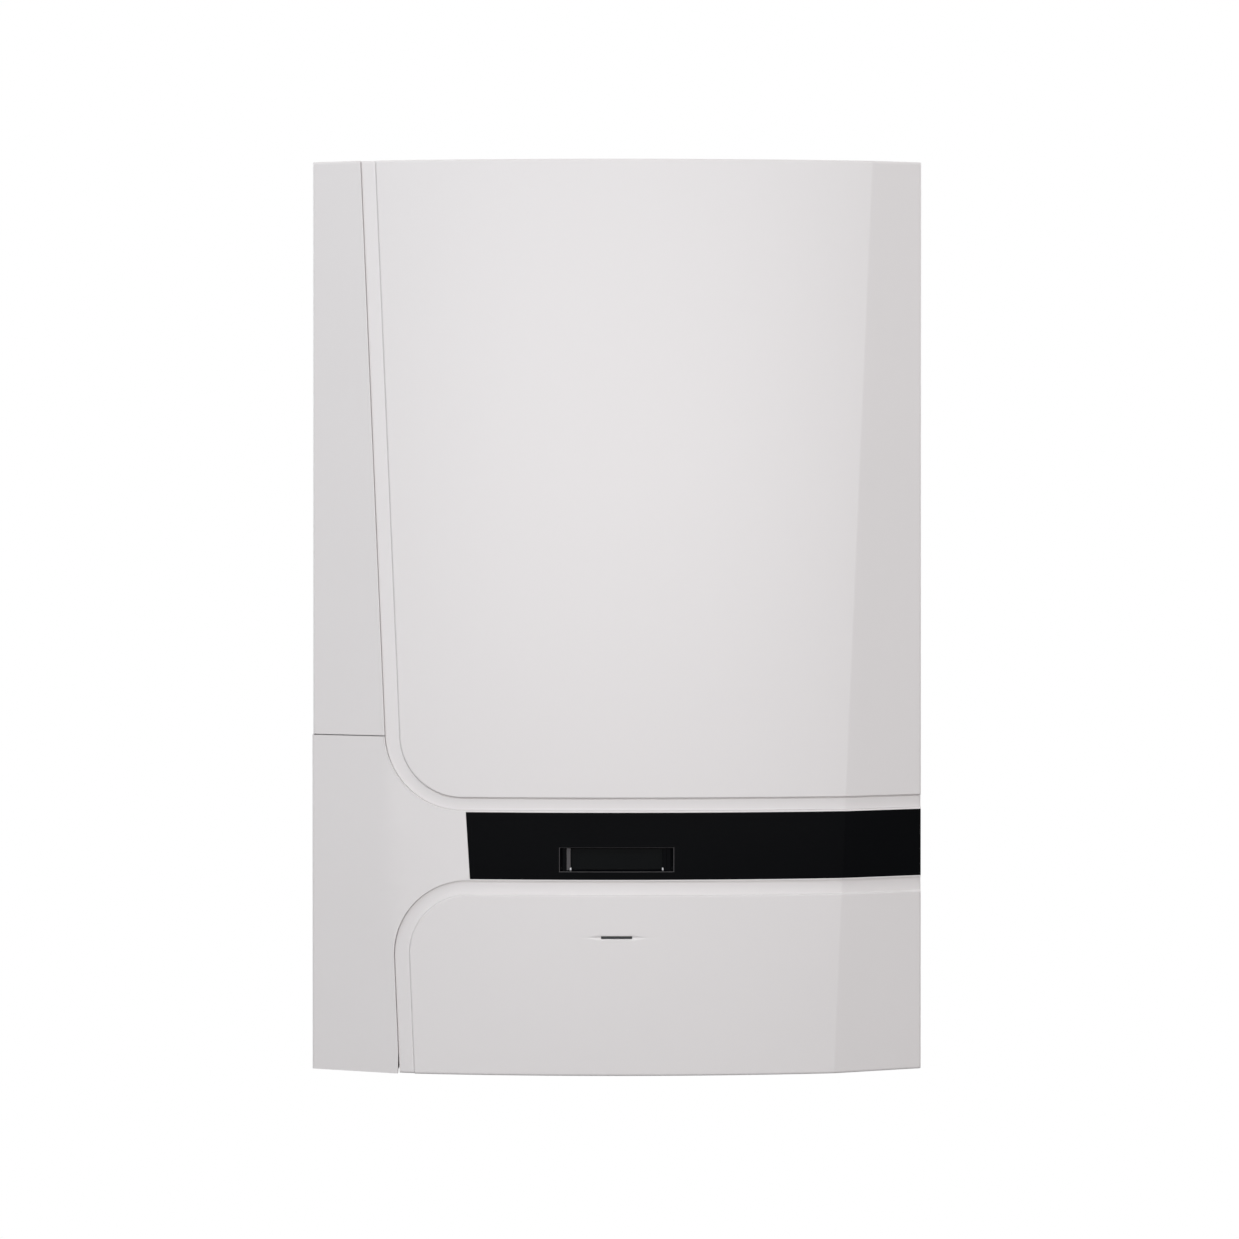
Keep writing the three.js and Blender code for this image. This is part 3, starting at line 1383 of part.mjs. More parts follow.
function makeBlocks() {
  const half = blockWidth / 2;
  const left = -outerConnection;
  const right = outerConnection;
  const body = (x) => plateXY(
    roundedRect(x, -(blockBack + blockFront) / 2, blockWidth, blockFront - blockBack, 8),
    blockBottom,
    blockTop,
    2,
  );
  const waist = (x) => box(x - half - 1, x + half + 1, -blockFront - 1, -blockBack - 18, blockBottom + 30, blockTop - 30);
  const core = (x) => box(x - half + 6, x + half - 6, -blockFront + 6, -blockBack, blockBottom + 20, blockTop - 20);
  const shaped = (x) => join(cut(body(x), waist(x)), core(x));
  const tapFace = (x, side) => rod('x', -connectionDepth, blockBottom + 12, side > 0 ? x : x - half, side > 0 ? x + half : x, 11, 12);
  const exchangerPad = (x, side) => (
    side > 0
      ? box(x, x + half, -blockBack - 50, -blockBack - 10, portHeight - 16, portHeight + 16)
      : box(x - half, x, -blockBack - 50, -blockBack - 10, portHeight - 16, portHeight + 16)
  );
  const actuatorSeat = rod('y', left, pumpHeight, -blockFront, -blockFront + 12, 16, 20);
  const flowBlock = join(shaped(left), tapFace(left, 1), exchangerPad(left, 1), actuatorSeat, blockSpigots(left));
  addPiece('flow_block', flowBlock, 'brass');
  const pumpSeat = rod('y', right, pumpHeight, -blockFront, -blockFront + 12, 24, 20);
  const reliefSeat = rod('x', -connectionDepth, portHeight, right, right + half, 12, 12);
  const returnBlock = join(
    shaped(right),
    tapFace(right, -1),
    exchangerPad(right, -1),
    pumpSeat,
    reliefSeat,
    blockSpigots(right),
  );
  addPiece('return_block', returnBlock, 'brass');

  const actuator = join(
    rod('y', left, pumpHeight, -blockFront - 22, -blockFront - fit, 15, 20),
    plateXZ(roundedRect(left, pumpHeight, 52, 60, 6), -blockFront - 62, -blockFront - 20, 2),
  );
  addPiece('diverter_actuator', actuator, 'darkPlastic');
}

const riserTop = pumpHeight + 60;
const ventSeat = riserTop - 6;
const ventX = returnPipeX - 39;
function makePump() {
  const x = outerConnection;
  const z = pumpHeight;
  const front = blockFront + 46;
  const volute = turnedForward([
    [0, blockFront + fit],
    [24, blockFront + fit],
    [24, blockFront + 10],
    [pumpRadius, blockFront + 16],
    [pumpRadius, front],
    [0, front],
  ], x, z, 20);
  const riser = rod('z', returnPipeX, -riserDepth, z + 10, riserTop, 15, 12);
  const ventBoss = rod('z', ventX, -riserDepth, z + 20, ventSeat, 10, 12);
  addPiece('pump_housing', join(volute, riser, ventBoss), 'castGrey');

  const motor = turnedForward([
    [0, front + fit],
    [pumpMotorRadius, front + fit],
    [pumpMotorRadius, front + 8],
    [pumpMotorRadius - 5, front + 10],
    [pumpMotorRadius - 5, front + 58],
    [pumpMotorRadius - 9, front + 62],
    [0, front + 62],
  ], x, z, 20);
  const terminalBox = box(x - 24, x + 24, -front - 54, -front - 10, z + 30, z + 48);
  addPiece('pump_motor', join(motor, terminalBox), 'darkPlastic');

  const vent = turned([
    [0, ventSeat + fit],
    [9, ventSeat + fit],
    [9, ventSeat + 8],
    [13, ventSeat + 10],
    [13, ventSeat + 36],
    [6, ventSeat + 40],
    [6, ventSeat + 48],
    [0, ventSeat + 48],
  ], ventX, -riserDepth, 12);
  addPiece('air_vent', vent, 'brass');
}

function makePlateExchanger() {
  const edge = outerConnection - blockWidth / 2 - fit;
  const low = 84;
  const high = 152;
  const back = blockBack + 4;
  const depth = 58;
  const pitch = depth / plateCount;
  const chamfered = (inset) => {
    const wide = edge - 2 - inset;
    const corner = 12;
    return outline([
      [-wide, low + inset + corner],
      [corner - wide, low + inset],
      [wide - corner, low + inset],
      [wide, low + inset + corner],
      [wide, high - inset - corner],
      [wide - corner, high - inset],
      [corner - wide, high - inset],
      [-wide, high - inset - corner],
    ]);
  };
  const plates = [];
  for (let i = 0; i < plateCount; i += 1) {
    const y = -back - pitch * (i + 0.5);
    plates.push(plateXZ(chamfered(0), y - pitch * 0.3, y + pitch * 0.3));
  }
  const core = plateXZ(chamfered(3), -back - depth, -back);
  const ports = rod('x', -blockBack - 30, portHeight, -edge, edge, 11, 12);
  addPiece('plate_exchanger', join(core, ...plates, ports), 'stainless');
}

const blockPortDepth = (blockBack + blockFront) / 2;
function makeWaterPipes() {
  const flow = pipe([
    [exchangerLeft - fit, -flowPipeDepth, flowPortHeight],
    [flowPipeX, -flowPipeDepth, flowPortHeight],
    [flowPipeX, -flowPipeDepth, blockTop + 45],
    [flowPipeX, -blockPortDepth, blockTop + 45],
    [flowPipeX, -blockPortDepth, blockTop + fit],
  ], pipeRadius, 13, 10);
  addPiece('flow_pipe', flow, 'copper');
  const back = pipe([
    [returnPipeX, -riserDepth, riserTop + fit],
    [returnPipeX, -riserDepth, returnPortHeight],
    [exchangerRight + fit, -riserDepth, returnPortHeight],
  ], pipeRadius, 20, 10);
  addPiece('return_pipe', back, 'copper');
  const inner = connectionPitch;
  const blockEdge = outerConnection - blockWidth / 2 - fit;
  const tapHeight = blockBottom + 12;
  [['hot_water_pipe', -1], ['cold_water_pipe', 1]].forEach(([name, side]) => {
    const run = pipe([
      [side * inner, -connectionDepth, stubTop],
      [side * inner, -connectionDepth, tapHeight],
      [side * blockEdge, -connectionDepth, tapHeight],
    ], smallPipeRadius, 14, 10);
    addPiece(name, run, 'copper');
  });
}

function makeUnions() {
  const unionTop = stubTop - fit;
  const union = (x, bore) => {
    const tail = turned([
      [bore, connectionBottom],
      [bore + 2.5, connectionBottom],
      [bore + 2.5, unionTop],
      [bore, unionTop],
      [bore, connectionBottom],
    ], x, -connectionDepth, 12);
    const nut = cut(
      rod('z', x, -connectionDepth, 10, stubTop - 4, nutRadius, 6),
      rod('z', x, -connectionDepth, 5, stubTop, bore + 1, 12),
    );
    return join(tail, nut);
  };
  const heatingBore = 9;
  const tapBore = 6.5;
  const bores = [heatingBore, tapBore, tapBore, tapBore, heatingBore];
  const railLow = floorHeight + sheet + fit;
  const rail = cut(
    box(connectionX[0] - 26, connectionX[4] + 26, -connectionDepth - 18, -connectionDepth + 18, railLow, railLow + 2.5),
    ...connectionX.map((x, i) => rod('z', x, -connectionDepth, 0, 20, bores[i] + 1, 12)),
  );
  addPiece('connection_rail', join(rail, ...connectionX.map((x, i) => union(x, bores[i]))), 'brass');
}

function makeReliefValve() {
  const x = reliefX;
  const edge = outerConnection + blockWidth / 2;
  const body = join(
    turned([
      [0, -20],
      [smallPipeRadius, -20],
      [smallPipeRadius, 90],
      [13, 94],
      [13, 134],
      [10, 138],
      [10, 144],
      [0, 144],
    ], x, -connectionDepth, 12),
    rod('x', -connectionDepth, portHeight, edge + fit, x, 9, 10),
  );
  const drain = rod('z', x, -connectionDepth, -25, 80, smallPipeRadius - 2, 10);
  addPiece('relief_valve', cut(body, drain), 'brass');

  const low = 144 + fit;
  const grips = new THREE.Shape();
  const lobes = 8;
  const steps = 32;
  for (let i = 0; i < steps; i += 1) {
    const angle = (2 * Math.PI * i) / steps;
    const radius = 14 + 1.2 * Math.cos(lobes * angle);
    if (i === 0) grips.moveTo(x + radius, -connectionDepth);
    else grips.lineTo(x + radius * Math.cos(angle), -connectionDepth + radius * Math.sin(angle));
  }
  grips.closePath();
  addPiece('relief_knob', plateXY(grips, low, low + 16), 'redPlastic');
}

// ---------- controls ----------
const keyX = [-1.5, -0.5, 0.5, 1.5].map((step) => step * keyPitch - 20);
const keyNames = ['key_escape', 'key_minus', 'key_plus', 'key_enter'];
const panelFront = boxFront + fit + boxWall;

function makeInstrumentBox() {
  const middle = (boxBottom + boxTop) / 2;
  const tall = boxTop - boxBottom;
  const outer = plateXZ(roundedRect(0, middle, 2 * boxHalfWidth, tall, 6), -boxFront, -boxBack, 2);
  const hollow = plateXZ(
    roundedRect(0, middle, 2 * (boxHalfWidth - boxWall), tall - 2 * boxWall, 5),
    -boxFront - 5,
    -boxBack - boxWall,
    2,
  );
  const armEnd = halfWidth - sheet - fit;
  const arm = (side) => {
    const near = boxHalfWidth - 1;
    const y0 = -casingFront + sheet + fit;
    return box(Math.min(side * near, side * armEnd), Math.max(side * near, side * armEnd), y0, y0 + 3, boxBottom + 8, boxBottom + 40);
  };
  const post = (x, z) => rod('y', x, z, -boxBack - 32, -boxBack - boxWall + 0.5, 4, 10);
  const posts = [post(-130, 90), post(130, 90), post(-130, 208), post(130, 208)];
  addPiece('instrument_box', join(cut(outer, hollow), arm(-1), arm(1), ...posts), 'darkPlastic');

  const boardBack = -boxBack - 32 - fit;
  const boardHalf = boxHalfWidth - 15;
  const board = box(-boardHalf, boardHalf, boardBack - 1.6, boardBack, boxBottom + 10, boxTop - 10);
  const relay = (x, z) => box(x - 9, x + 9, boardBack - 16, boardBack - 1.5, z - 7, z + 7);
  const relayHeight = boxTop - 42;
  const transformer = box(84, 128, boardBack - 34, boardBack - 1.5, relayHeight - 30, relayHeight + 10);
  const terminals = box(-130, 60, boardBack - 14, boardBack - 1.5, boxBottom + 12, boxBottom + 26);
  const parts = [-110, -80, -50, -20].map((x) => relay(x, relayHeight)).concat(transformer, terminals);
  addPiece('control_board', join(board, ...parts), 'circuitGreen');
}

const displayLow = windowHeight - 10;
const displayHigh = windowHeight + 10;
const displayHalf = 37;

function makeKeyPanel() {
  const middle = (boxBottom + boxTop) / 2;
  const tall = boxTop - boxBottom;
  const back = -boxFront - fit;
  const plate = plateXZ(roundedRect(0, middle, 2 * boxHalfWidth, tall, 6), -panelFront, back, 2);
  const hole = (x) => plateXZ(
    roundedRect(x, keyHeight, keyWidth + 2 * fit, keyTall + 2 * fit, keyCorner + fit),
    -panelFront - 1,
    back + 1,
    1,
  );
  const switchHole = box(
    switchX - switchWidth / 2 - fit,
    switchX + switchWidth / 2 + fit,
    -panelFront - 1,
    back + 1,
    keyHeight - switchTall / 2 - 1,
    keyHeight + switchTall / 2 + 1,
  );
  addPiece('key_panel', cut(plate, ...keyX.map(hole), switchHole), 'greyPlastic');
}

function makeKeys() {
  const inside = -boxFront - fit;
  keyX.forEach((x, i) => {
    const cap = plateXZ(
      roundedRect(x, keyHeight, keyWidth, keyTall, keyCorner),
      -panelFront - 2.4,
      inside + fit + 1,
      1,
    );
    const collar = box(
      x - keyWidth / 2 - 2,
      x + keyWidth / 2 + 2,
      inside + fit,
      inside + fit + 1.5,
      keyHeight - keyTall / 2 - 2,
      keyHeight + keyTall / 2 + 2,
    );
    addPiece(keyNames[i], join(cap, collar), 'lightPlastic');
  });
}

function makeSwitch() {
  const axis = -panelFront + 3;
  const half = switchTall / 2;
  const rocker = plateYZ(outline([
    [axis + 5, keyHeight - half * 0.6],
    [axis + 5, keyHeight + half * 0.6],
    [-panelFront - 1, keyHeight + half],
    [-panelFront - 3.4, keyHeight + half - 1],
    [-panelFront - 1.6, keyHeight],
    [-panelFront - 3.4, keyHeight - half + 1],
    [-panelFront - 1, keyHeight - half],
  ]), switchX - switchWidth / 2, switchX + switchWidth / 2);
  addPiece('power_switch', rocker, 'darkPlastic');
}

function makeDisplay() {
  const back = -panelFront - fit;
  const front = windowDepth + fit - caseDepth;
  const housing = plateXZ(
    roundedRect(0, windowHeight, 2 * displayHalf, displayHigh - displayLow, 2),
    front,
    back,
    1,
  );
  addPiece('display_module', housing, 'displayGlass');
}

makeMainPanel();
makeLeftTrim();
makeBridgePanel();
makeControlStrip();
makeFlap();
makeCoverFrame();
makeCoverScrews();
makeWallBracket();
makeBackPanel();
makeSidePanels();
makeTopPanel();
makeBottomPanel();
makeCableGlands();
makeFlue();
makeHeatExchanger();
makeBurnerHood();
makeBurner();
makeElectrode();
makeFan();
makeIntake();
makeGasLine();
makeCondensate();
makeVessel();
makeBlocks();
makePump();
makePlateExchanger();
makeWaterPipes();
makeUnions();
makeReliefValve();
makeInstrumentBox();
makeKeyPanel();
makeKeys();
makeSwitch();
makeDisplay();

export default boiler;
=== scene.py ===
import json
import math

import bmesh
import bpy
import numpy as np
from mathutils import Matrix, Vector


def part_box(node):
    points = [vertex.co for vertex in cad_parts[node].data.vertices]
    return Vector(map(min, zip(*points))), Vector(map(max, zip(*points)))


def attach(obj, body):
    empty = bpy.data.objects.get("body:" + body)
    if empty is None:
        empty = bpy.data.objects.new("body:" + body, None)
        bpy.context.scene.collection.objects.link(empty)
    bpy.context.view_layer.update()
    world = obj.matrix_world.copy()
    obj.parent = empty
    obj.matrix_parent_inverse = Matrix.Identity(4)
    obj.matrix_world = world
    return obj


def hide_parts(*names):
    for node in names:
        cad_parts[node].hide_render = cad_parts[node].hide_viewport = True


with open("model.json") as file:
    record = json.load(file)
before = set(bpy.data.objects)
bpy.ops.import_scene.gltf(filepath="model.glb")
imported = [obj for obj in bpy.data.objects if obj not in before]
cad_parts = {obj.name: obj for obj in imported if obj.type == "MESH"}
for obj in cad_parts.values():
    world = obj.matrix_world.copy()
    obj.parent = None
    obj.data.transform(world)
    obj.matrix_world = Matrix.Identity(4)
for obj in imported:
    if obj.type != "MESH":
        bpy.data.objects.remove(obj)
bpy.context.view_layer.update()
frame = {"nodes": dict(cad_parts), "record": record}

print("frame loaded:", len(frame["nodes"]), "nodes")

# the frame's own sizes, in millimetres above the casing's bottom
mm = 0.001
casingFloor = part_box("side_panel_left")[0].z
caseHeight = (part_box("side_panel_left")[1].z - casingFloor) / mm
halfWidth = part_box("side_panel_right")[1].x / mm
caseDepth = -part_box("main_panel")[0].y / mm
coverBack = 355.0  # rear edge of the cover's deep walls, from the wall

front = {
    "bowRadius": 1100.0,  # plan radius of the middle
    "creaseLow": 159.6,  # half width of the bowed middle at the bottom
    "creaseHigh": 188.3,  # and at the top
    "facetSlope": 0.34,  # depth lost per unit of width on a side facet
    "creaseSoft": 0.5,  # half width of the crease's rounding
    "skin": 2.1,  # wall of a moulding
    "rim": 5.5,  # depth of the edges at a parting line
    "borderDepth": 3.0,  # of the recessed borders
    "draft": 0.9,  # width of the sloping wall between a border and its field
    "stretchSteps": 8,  # columns in each plain stretch of a field
    "edgeRound": 1.6,  # rounding of the deep outer edges
    "margin": 0.4,  # from a rounding to the next line of points
    "lineRound": 0.3,  # rounding beside a parting line
}


def crease(z):
    return front["creaseLow"] + (front["creaseHigh"] - front["creaseLow"]) * z / caseHeight


def bow(x, z):
    # depth = m^2 / 2R + slope * (|x| - c) beyond the crease c, with m = min(|x|, c);
    # within w of the crease a parabola rounds the corner off: + turn * (w - |x - c|)^2 / 4w
    c, w = crease(z), front["creaseSoft"]
    middle = np.minimum(np.abs(x), c)
    beyond = np.maximum(np.abs(x) - c, 0)
    turn = front["facetSlope"] - c / front["bowRadius"]
    near = np.maximum(w - np.abs(x - c), 0)
    return middle**2 / (2 * front["bowRadius"]) + front["facetSlope"] * beyond + turn * near**2 / (4 * w)


def onFront(x, z, depth):
    # a point lies 'depth' behind the bowed face
    x, z, depth = np.broadcast_arrays(x, z, depth)
    return np.stack([x, bow(x, z) + depth - caseDepth, z], -1).astype(float)


# mesh helpers
def gridQuads(rows, columns, offset):
    at = offset + np.arange(rows * columns).reshape(rows, columns)
    return np.stack([at[:-1, :-1], at[:-1, 1:], at[1:, 1:], at[1:, :-1]], -1).reshape(-1, 4)


def spread(start, end, steps):
    return np.linspace(start, end, steps + 1)


def quarterTurn(steps=5):
    # angles from 0 to 90 degrees, in radians
    return np.radians(spread(0, 90, steps))


def arc(centre, radius, start, end, steps):
    # points (centre + radius * (cos t, sin t)) for t from start to end, in degrees
    t = np.radians(spread(start, end, steps))
    return np.stack([centre[0] + radius * np.cos(t), centre[1] + radius * np.sin(t)], -1)


def notch(work, low, high):
    # cuts a box out of the lower wall: the wall's faces are split along its sides, then those inside go
    def middle(face):
        return np.array(face.calc_center_median()) / mm - [0, 0, casingFloor / mm]

    for axis, at in ((0, low[0]), (0, high[0]), (1, low[1])):
        wall = [face for face in work.faces if abs(face.normal.z) > 0.9 and middle(face)[2] < high[2]]
        if axis == 1:  # only between the two cuts made before
            wall = [face for face in wall if low[0] < middle(face)[0] < high[0]]
        edges = list(dict.fromkeys(edge for face in wall for edge in face.edges))
        points = list(dict.fromkeys(vertex for face in wall for vertex in face.verts))
        way = Vector(np.eye(3)[axis])
        bmesh.ops.bisect_plane(work, geom=wall + edges + points, plane_co=way * float(at * mm), plane_no=way)
    inside = [face for face in work.faces if np.all(middle(face) > low) and np.all(middle(face) < high)]
    bmesh.ops.delete(work, geom=inside, context="FACES")


def thicken(piece, wall, low, high):
    # gives an open skin its wall for good; no corner of it stands proud of the skin's own box
    solid = piece.modifiers.new("wall", "SOLIDIFY")
    solid.thickness = wall * mm
    solid.offset = -1
    bpy.context.view_layer.update()
    made = bpy.data.meshes.new_from_object(piece.evaluated_get(bpy.context.evaluated_depsgraph_get()))
    piece.modifiers.clear()
    piece.data = made
    spots = np.empty(len(made.vertices) * 3, np.float32)
    made.vertices.foreach_get("co", spots)
    made.vertices.foreach_set("co", np.clip(spots.reshape(-1, 3), low, high).ravel())


def surface(name, grids, body, slot, nodes=(), look=None, wall=0.0, toward=None, inside=None, notches=()):
    # grids of points in millimetres, joined where their edges meet; inside: which points of the first
    # grid lie in its opening; toward: the way that an open skin faces
    vertices, faces, offset = [], [], 0
    for grid in grids:
        rows, columns = grid.shape[:2]
        quads = gridQuads(rows, columns, offset)
        if offset == 0 and inside is not None:
            quads = quads[~inside.reshape(-1)[quads].all(1)]
        vertices.append(grid.reshape(-1, 3))
        faces.append(quads)
        offset += rows * columns
    points = np.concatenate(vertices) * mm + [0, 0, casingFloor]
    mesh = bpy.data.meshes.new(name)
    mesh.from_pydata(points.tolist(), [], np.concatenate(faces).tolist())
    work = bmesh.new()
    work.from_mesh(mesh)
    bmesh.ops.remove_doubles(work, verts=work.verts, dist=1e-5)
    bmesh.ops.dissolve_degenerate(work, dist=1e-6, edges=work.edges)
    bmesh.ops.recalc_face_normals(work, faces=work.faces)
    if toward and sum((face.normal.dot(toward) * face.calc_area() for face in work.faces), 0.0) < 0:
        bmesh.ops.reverse_faces(work, faces=work.faces)
    for low, high in notches:
        notch(work, np.array(low), np.array(high))
    work.to_mesh(mesh)
    work.free()
    piece = bpy.data.objects.new(name, mesh)
    bpy.context.scene.collection.objects.link(piece)
    if wall:
        thicken(piece, wall, points.min(0), points.max(0))
    piece.data.shade_smooth()
    piece.data.set_sharp_from_angle(angle=math.radians(32))
    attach(piece, body)
    if nodes:
        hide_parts(*nodes)
    dress(piece, look or slotLooks[slot])
    return piece


def wallGrid(edge, back):
    # carries an edge straight back to a depth: the edge, a supporting line, the rear
    near = edge + [0, front["margin"], 0]
    rear = edge.copy()
    rear[..., 1] = back
    return np.stack([edge, near, rear])


def inSpace(u, v, h, axis):
    # h runs up ("z"), forward from the wall ("y") or to the right ("x"); u and v lie across it
    u, v, h = np.broadcast_arrays(u, v, h)
    order = {"z": (u, v, h), "y": (u, -h, v), "x": (h, u, v)}[axis]
    return np.stack(order, -1).astype(float)


def rounded(corners, radius, steps, closed=False):
    # each corner becomes a parabola that touches both sides 'radius' away, or nearer on a short side
    points = np.asarray(corners, float)
    before, after = np.roll(points, 1, 0), np.roll(points, -1, 0)
    made = []
    for index, (back, here, on) in enumerate(zip(before, points, after)):
        if not closed and index in (0, len(points) - 1):
            made.append(here[None])
            continue
        reach = [min(radius, 0.45 * np.linalg.norm(side - here)) for side in (back, on)]
        start = here + (back - here) / max(np.linalg.norm(back - here), 1e-9) * reach[0]
        end = here + (on - here) / max(np.linalg.norm(on - here), 1e-9) * reach[1]
        t = spread(0, 1, steps)[:, None]
        made.append((1 - t) ** 2 * start + 2 * t * (1 - t) * here + t**2 * end)
    if closed:
        made.append(made[0][:1])
    return np.concatenate(made)


def lathe(profile, u, v, axis, steps, wave=None):
    # a profile of (radius, h) turned about (u, v); wave: (count, height, from h, to h) flutes it
    radius, h = np.asarray(profile, float).T
    t = spread(0, 2 * math.pi, steps)
    r = radius[:, None] + 0 * t
    if wave:
        count, tall, low, high = wave
        inside = np.clip((h - low) / 1.5, 0, 1) * np.clip((high - h) / 1.5, 0, 1)
        r = r - tall * inside[:, None] * (0.5 - 0.5 * np.cos(count * t))
    return inSpace(u + r * np.cos(t), v + r * np.sin(t), h[:, None], axis)


def roundedRect(u, v, wide, tall, radius):
    # a function of the inset: the outline, anticlockwise, with its first point repeated
    def shape(inset):
        corner = max(radius - inset, 0.05)
        halves = np.array([wide / 2 - inset - corner, tall / 2 - inset - corner])
        sides = []
        for turn, signs in enumerate([(1, 1), (-1, 1), (-1, -1), (1, -1)]):
            angle = quarterTurn() + turn * math.pi / 2
            sides.append(signs * halves + corner * np.stack([np.cos(angle), np.sin(angle)], -1))
        ring = np.concatenate(sides) + [u, v]
        return np.concatenate([ring, ring[:1]])

    return shape


def polygon(u, v, radius, sides):
    # a regular polygon measured to its corners, as a function of the inset
    def shape(inset):
        t = spread(0, 2 * math.pi, sides)
        reach = radius - inset / math.cos(math.pi / sides)
        return np.stack([u + reach * np.cos(t), v + reach * np.sin(t)], -1)

    return shape


def pad(shape, low, high, rim, axis="z"):
    # an outline carried from low to high, its rims rounded by quarter circles and its ends closed
    q = quarterTurn(3)
    inset = np.concatenate([rim * (1 - np.sin(q)), rim * (1 - np.cos(q))])
    h = np.concatenate([low + rim * (1 - np.cos(q)), high - rim + rim * np.sin(q)])
    rings = [shape(i) for i in inset]
    centre = shape(0)[:-1].mean(0) + 0 * rings[0]
    rings = np.stack([centre, *rings, centre])
    h = np.concatenate([[low], h, [high]])
    return inSpace(rings[..., 0], rings[..., 1], h[:, None], axis)


def block(x0, x1, y0, y1, z0, z1, rim=0.8, corner=2.0):
    shape = roundedRect((x0 + x1) / 2, (y0 + y1) / 2, x1 - x0, y1 - y0, corner)
    return pad(shape, z0, z1, rim)


def tube(corners, radius, bend, sides=24, ripple=(0.0, 1.0)):
    # a circle carried along straight lengths and bends, its ends closed; ripple: (height, length of a wave)
    points = np.asarray(corners, float)
    stations = [points[0]]
    for back, here, on in zip(points[:-2], points[1:-1], points[2:]):
        start = here + (back - here) / np.linalg.norm(back - here) * bend
        end = here + (on - here) / np.linalg.norm(on - here) * bend
        # the bend is a quarter circle: centre + (start - centre) cos t + (end - centre) sin t
        centre = start + end - here
        t = quarterTurn(8)[:, None]
        stations.extend(centre + (start - centre) * np.cos(t) + (end - centre) * np.sin(t))
    stations.append(points[-1])
    way = np.array(stations)
    if ripple[0]:
        length = np.concatenate([[0], np.cumsum(np.linalg.norm(np.diff(way, axis=0), axis=1))])
        at = np.arange(0, length[-1], ripple[1] / 4)
        way = np.stack([np.interp(at, length, way[:, i]) for i in range(3)], -1)
    along = np.gradient(way, axis=0)
    along /= np.linalg.norm(along, axis=1)[:, None]
    normal = np.cross(along[0], [0.3, 0.5, 0.8])
    frames = []
    for heading in along:
        normal = normal - heading * normal.dot(heading)
        normal = normal / np.linalg.norm(normal)
        frames.append(normal)
    first = np.array(frames)
    second = np.cross(along, first)
    t = spread(0, 2 * math.pi, sides)[None, :, None]
    r = np.full(len(way), float(radius))
    if ripple[0]:
        r = r + ripple[0] * np.cos(2 * math.pi * at / ripple[1])
    grid = way[:, None] + r[:, None, None] * (first[:, None] * np.cos(t) + second[:, None] * np.sin(t))
    return np.concatenate([way[:1, None] + 0 * grid[:1], grid, way[-1:, None] + 0 * grid[-1:]])


def hexNut(x, y, low, high, radius, axis="z"):
    return pad(polygon(x, y, radius, 6), low, high, 0.9, axis)


# finishes
finishes = {
    # name: (sRGB colour, roughness, bump's scale, strength and detail, mottle's scale and share,
    # how far the roughness varies, the rest)
    "satinWhite": ((228, 225, 225), 0.36, (2600, 0.05, 2), (9, 0.006), 0.03, {}),
    "powderWhite": ((222, 221, 221), 0.45, (900, 0.16, 3), (14, 0.012), 0.04, {}),
    "glossBlack": ((10, 11, 13), 0.08, (60, 0.01, 1), (11, 0.1), 0.02, {"spec": 0.06}),
    # pale plastic whose light colour is painted glints at the window's corners
    "paleGlintPeg": ((214, 214, 216), 0.2, (300, 0.05, 2), (40, 0.03), 0.03, {}),
    # a lighter grey painted on the window's funnel: painted reflection on its left wall, painted highlight on
    # its lip
    "paintedReflectionGrey": ((74, 72, 74), 0.35, (900, 0.1, 2), (30, 0.05), 0.05, {"spec": 0.3}),
    "zincSheet": ((176, 180, 183), 0.38, (300, 0.1, 3), (90, 0.035), 0.04, {"metal": 0.9}),
    "castAluminium": ((160, 162, 164), 0.55, (420, 0.5, 6), (25, 0.06), 0.06, {"metal": 0.8}),
    "brightSteel": ((190, 191, 193), 0.26, (240, 0.08, 2), (30, 0.05), 0.05, {"metal": 1.0}),
    "drawnCopper": ((196, 122, 84), 0.3, (200, 0.08, 2), (22, 0.14), 0.08, {"metal": 1.0}),
    "turnedBrass": ((196, 164, 92), 0.3, (260, 0.08, 2), (26, 0.08), 0.06, {"metal": 1.0}),
    "redEnamel": ((170, 34, 30), 0.3, (160, 0.12, 4), (12, 0.06), 0.05, {"coat": 0.3}),
    "redKnob": ((178, 36, 30), 0.42, (700, 0.1, 2), (30, 0.05), 0.05, {}),
    "greyCasting": ((92, 95, 99), 0.6, (380, 0.6, 6), (28, 0.08), 0.06, {"metal": 0.35}),
    "darkPlastic": ((38, 40, 43), 0.5, (1400, 0.25, 3), (24, 0.08), 0.06, {}),
    "greyPlastic": ((140, 145, 150), 0.52, (1400, 0.2, 3), (20, 0.03), 0.05, {}),
    "lightPlastic": ((205, 208, 210), 0.48, (1400, 0.15, 3), (20, 0.02), 0.05, {}),
    "softRubber": ((27, 27, 28), 0.8, (900, 0.3, 3), (30, 0.1), 0.05, {}),
    "solderMask": ((40, 88, 54), 0.35, (500, 0.3, 2), (120, 0.3), 0.1, {"coat": 0.3}),
    "displayGlass": ((19, 21, 22), 0.12, (60, 0.02, 1), (40, 0.06), 0.02, {"spec": 0.06}),
}
slotLooks = {
    "white_moulding": "satinWhite", "white_paint": "powderWhite", "gloss_black": "glossBlack",
    "dark_plastic": "darkPlastic", "grey_plastic": "greyPlastic", "light_plastic": "lightPlastic",
    "rubber": "softRubber", "zinc_steel": "zincSheet", "cast_aluminium": "castAluminium",
    "stainless": "brightSteel", "copper": "drawnCopper", "brass": "turnedBrass", "red_paint": "redEnamel",
    "red_plastic": "redKnob", "cast_grey": "greyCasting", "circuit_green": "solderMask",
    "display_glass": "displayGlass",
}


def rgb(red, green, blue):
    # an sRGB colour as Blender's linear one
    share = np.array([red, green, blue]) / 255
    return np.where(share <= 0.04045, share / 12.92, ((share + 0.055) / 1.055) ** 2.4)


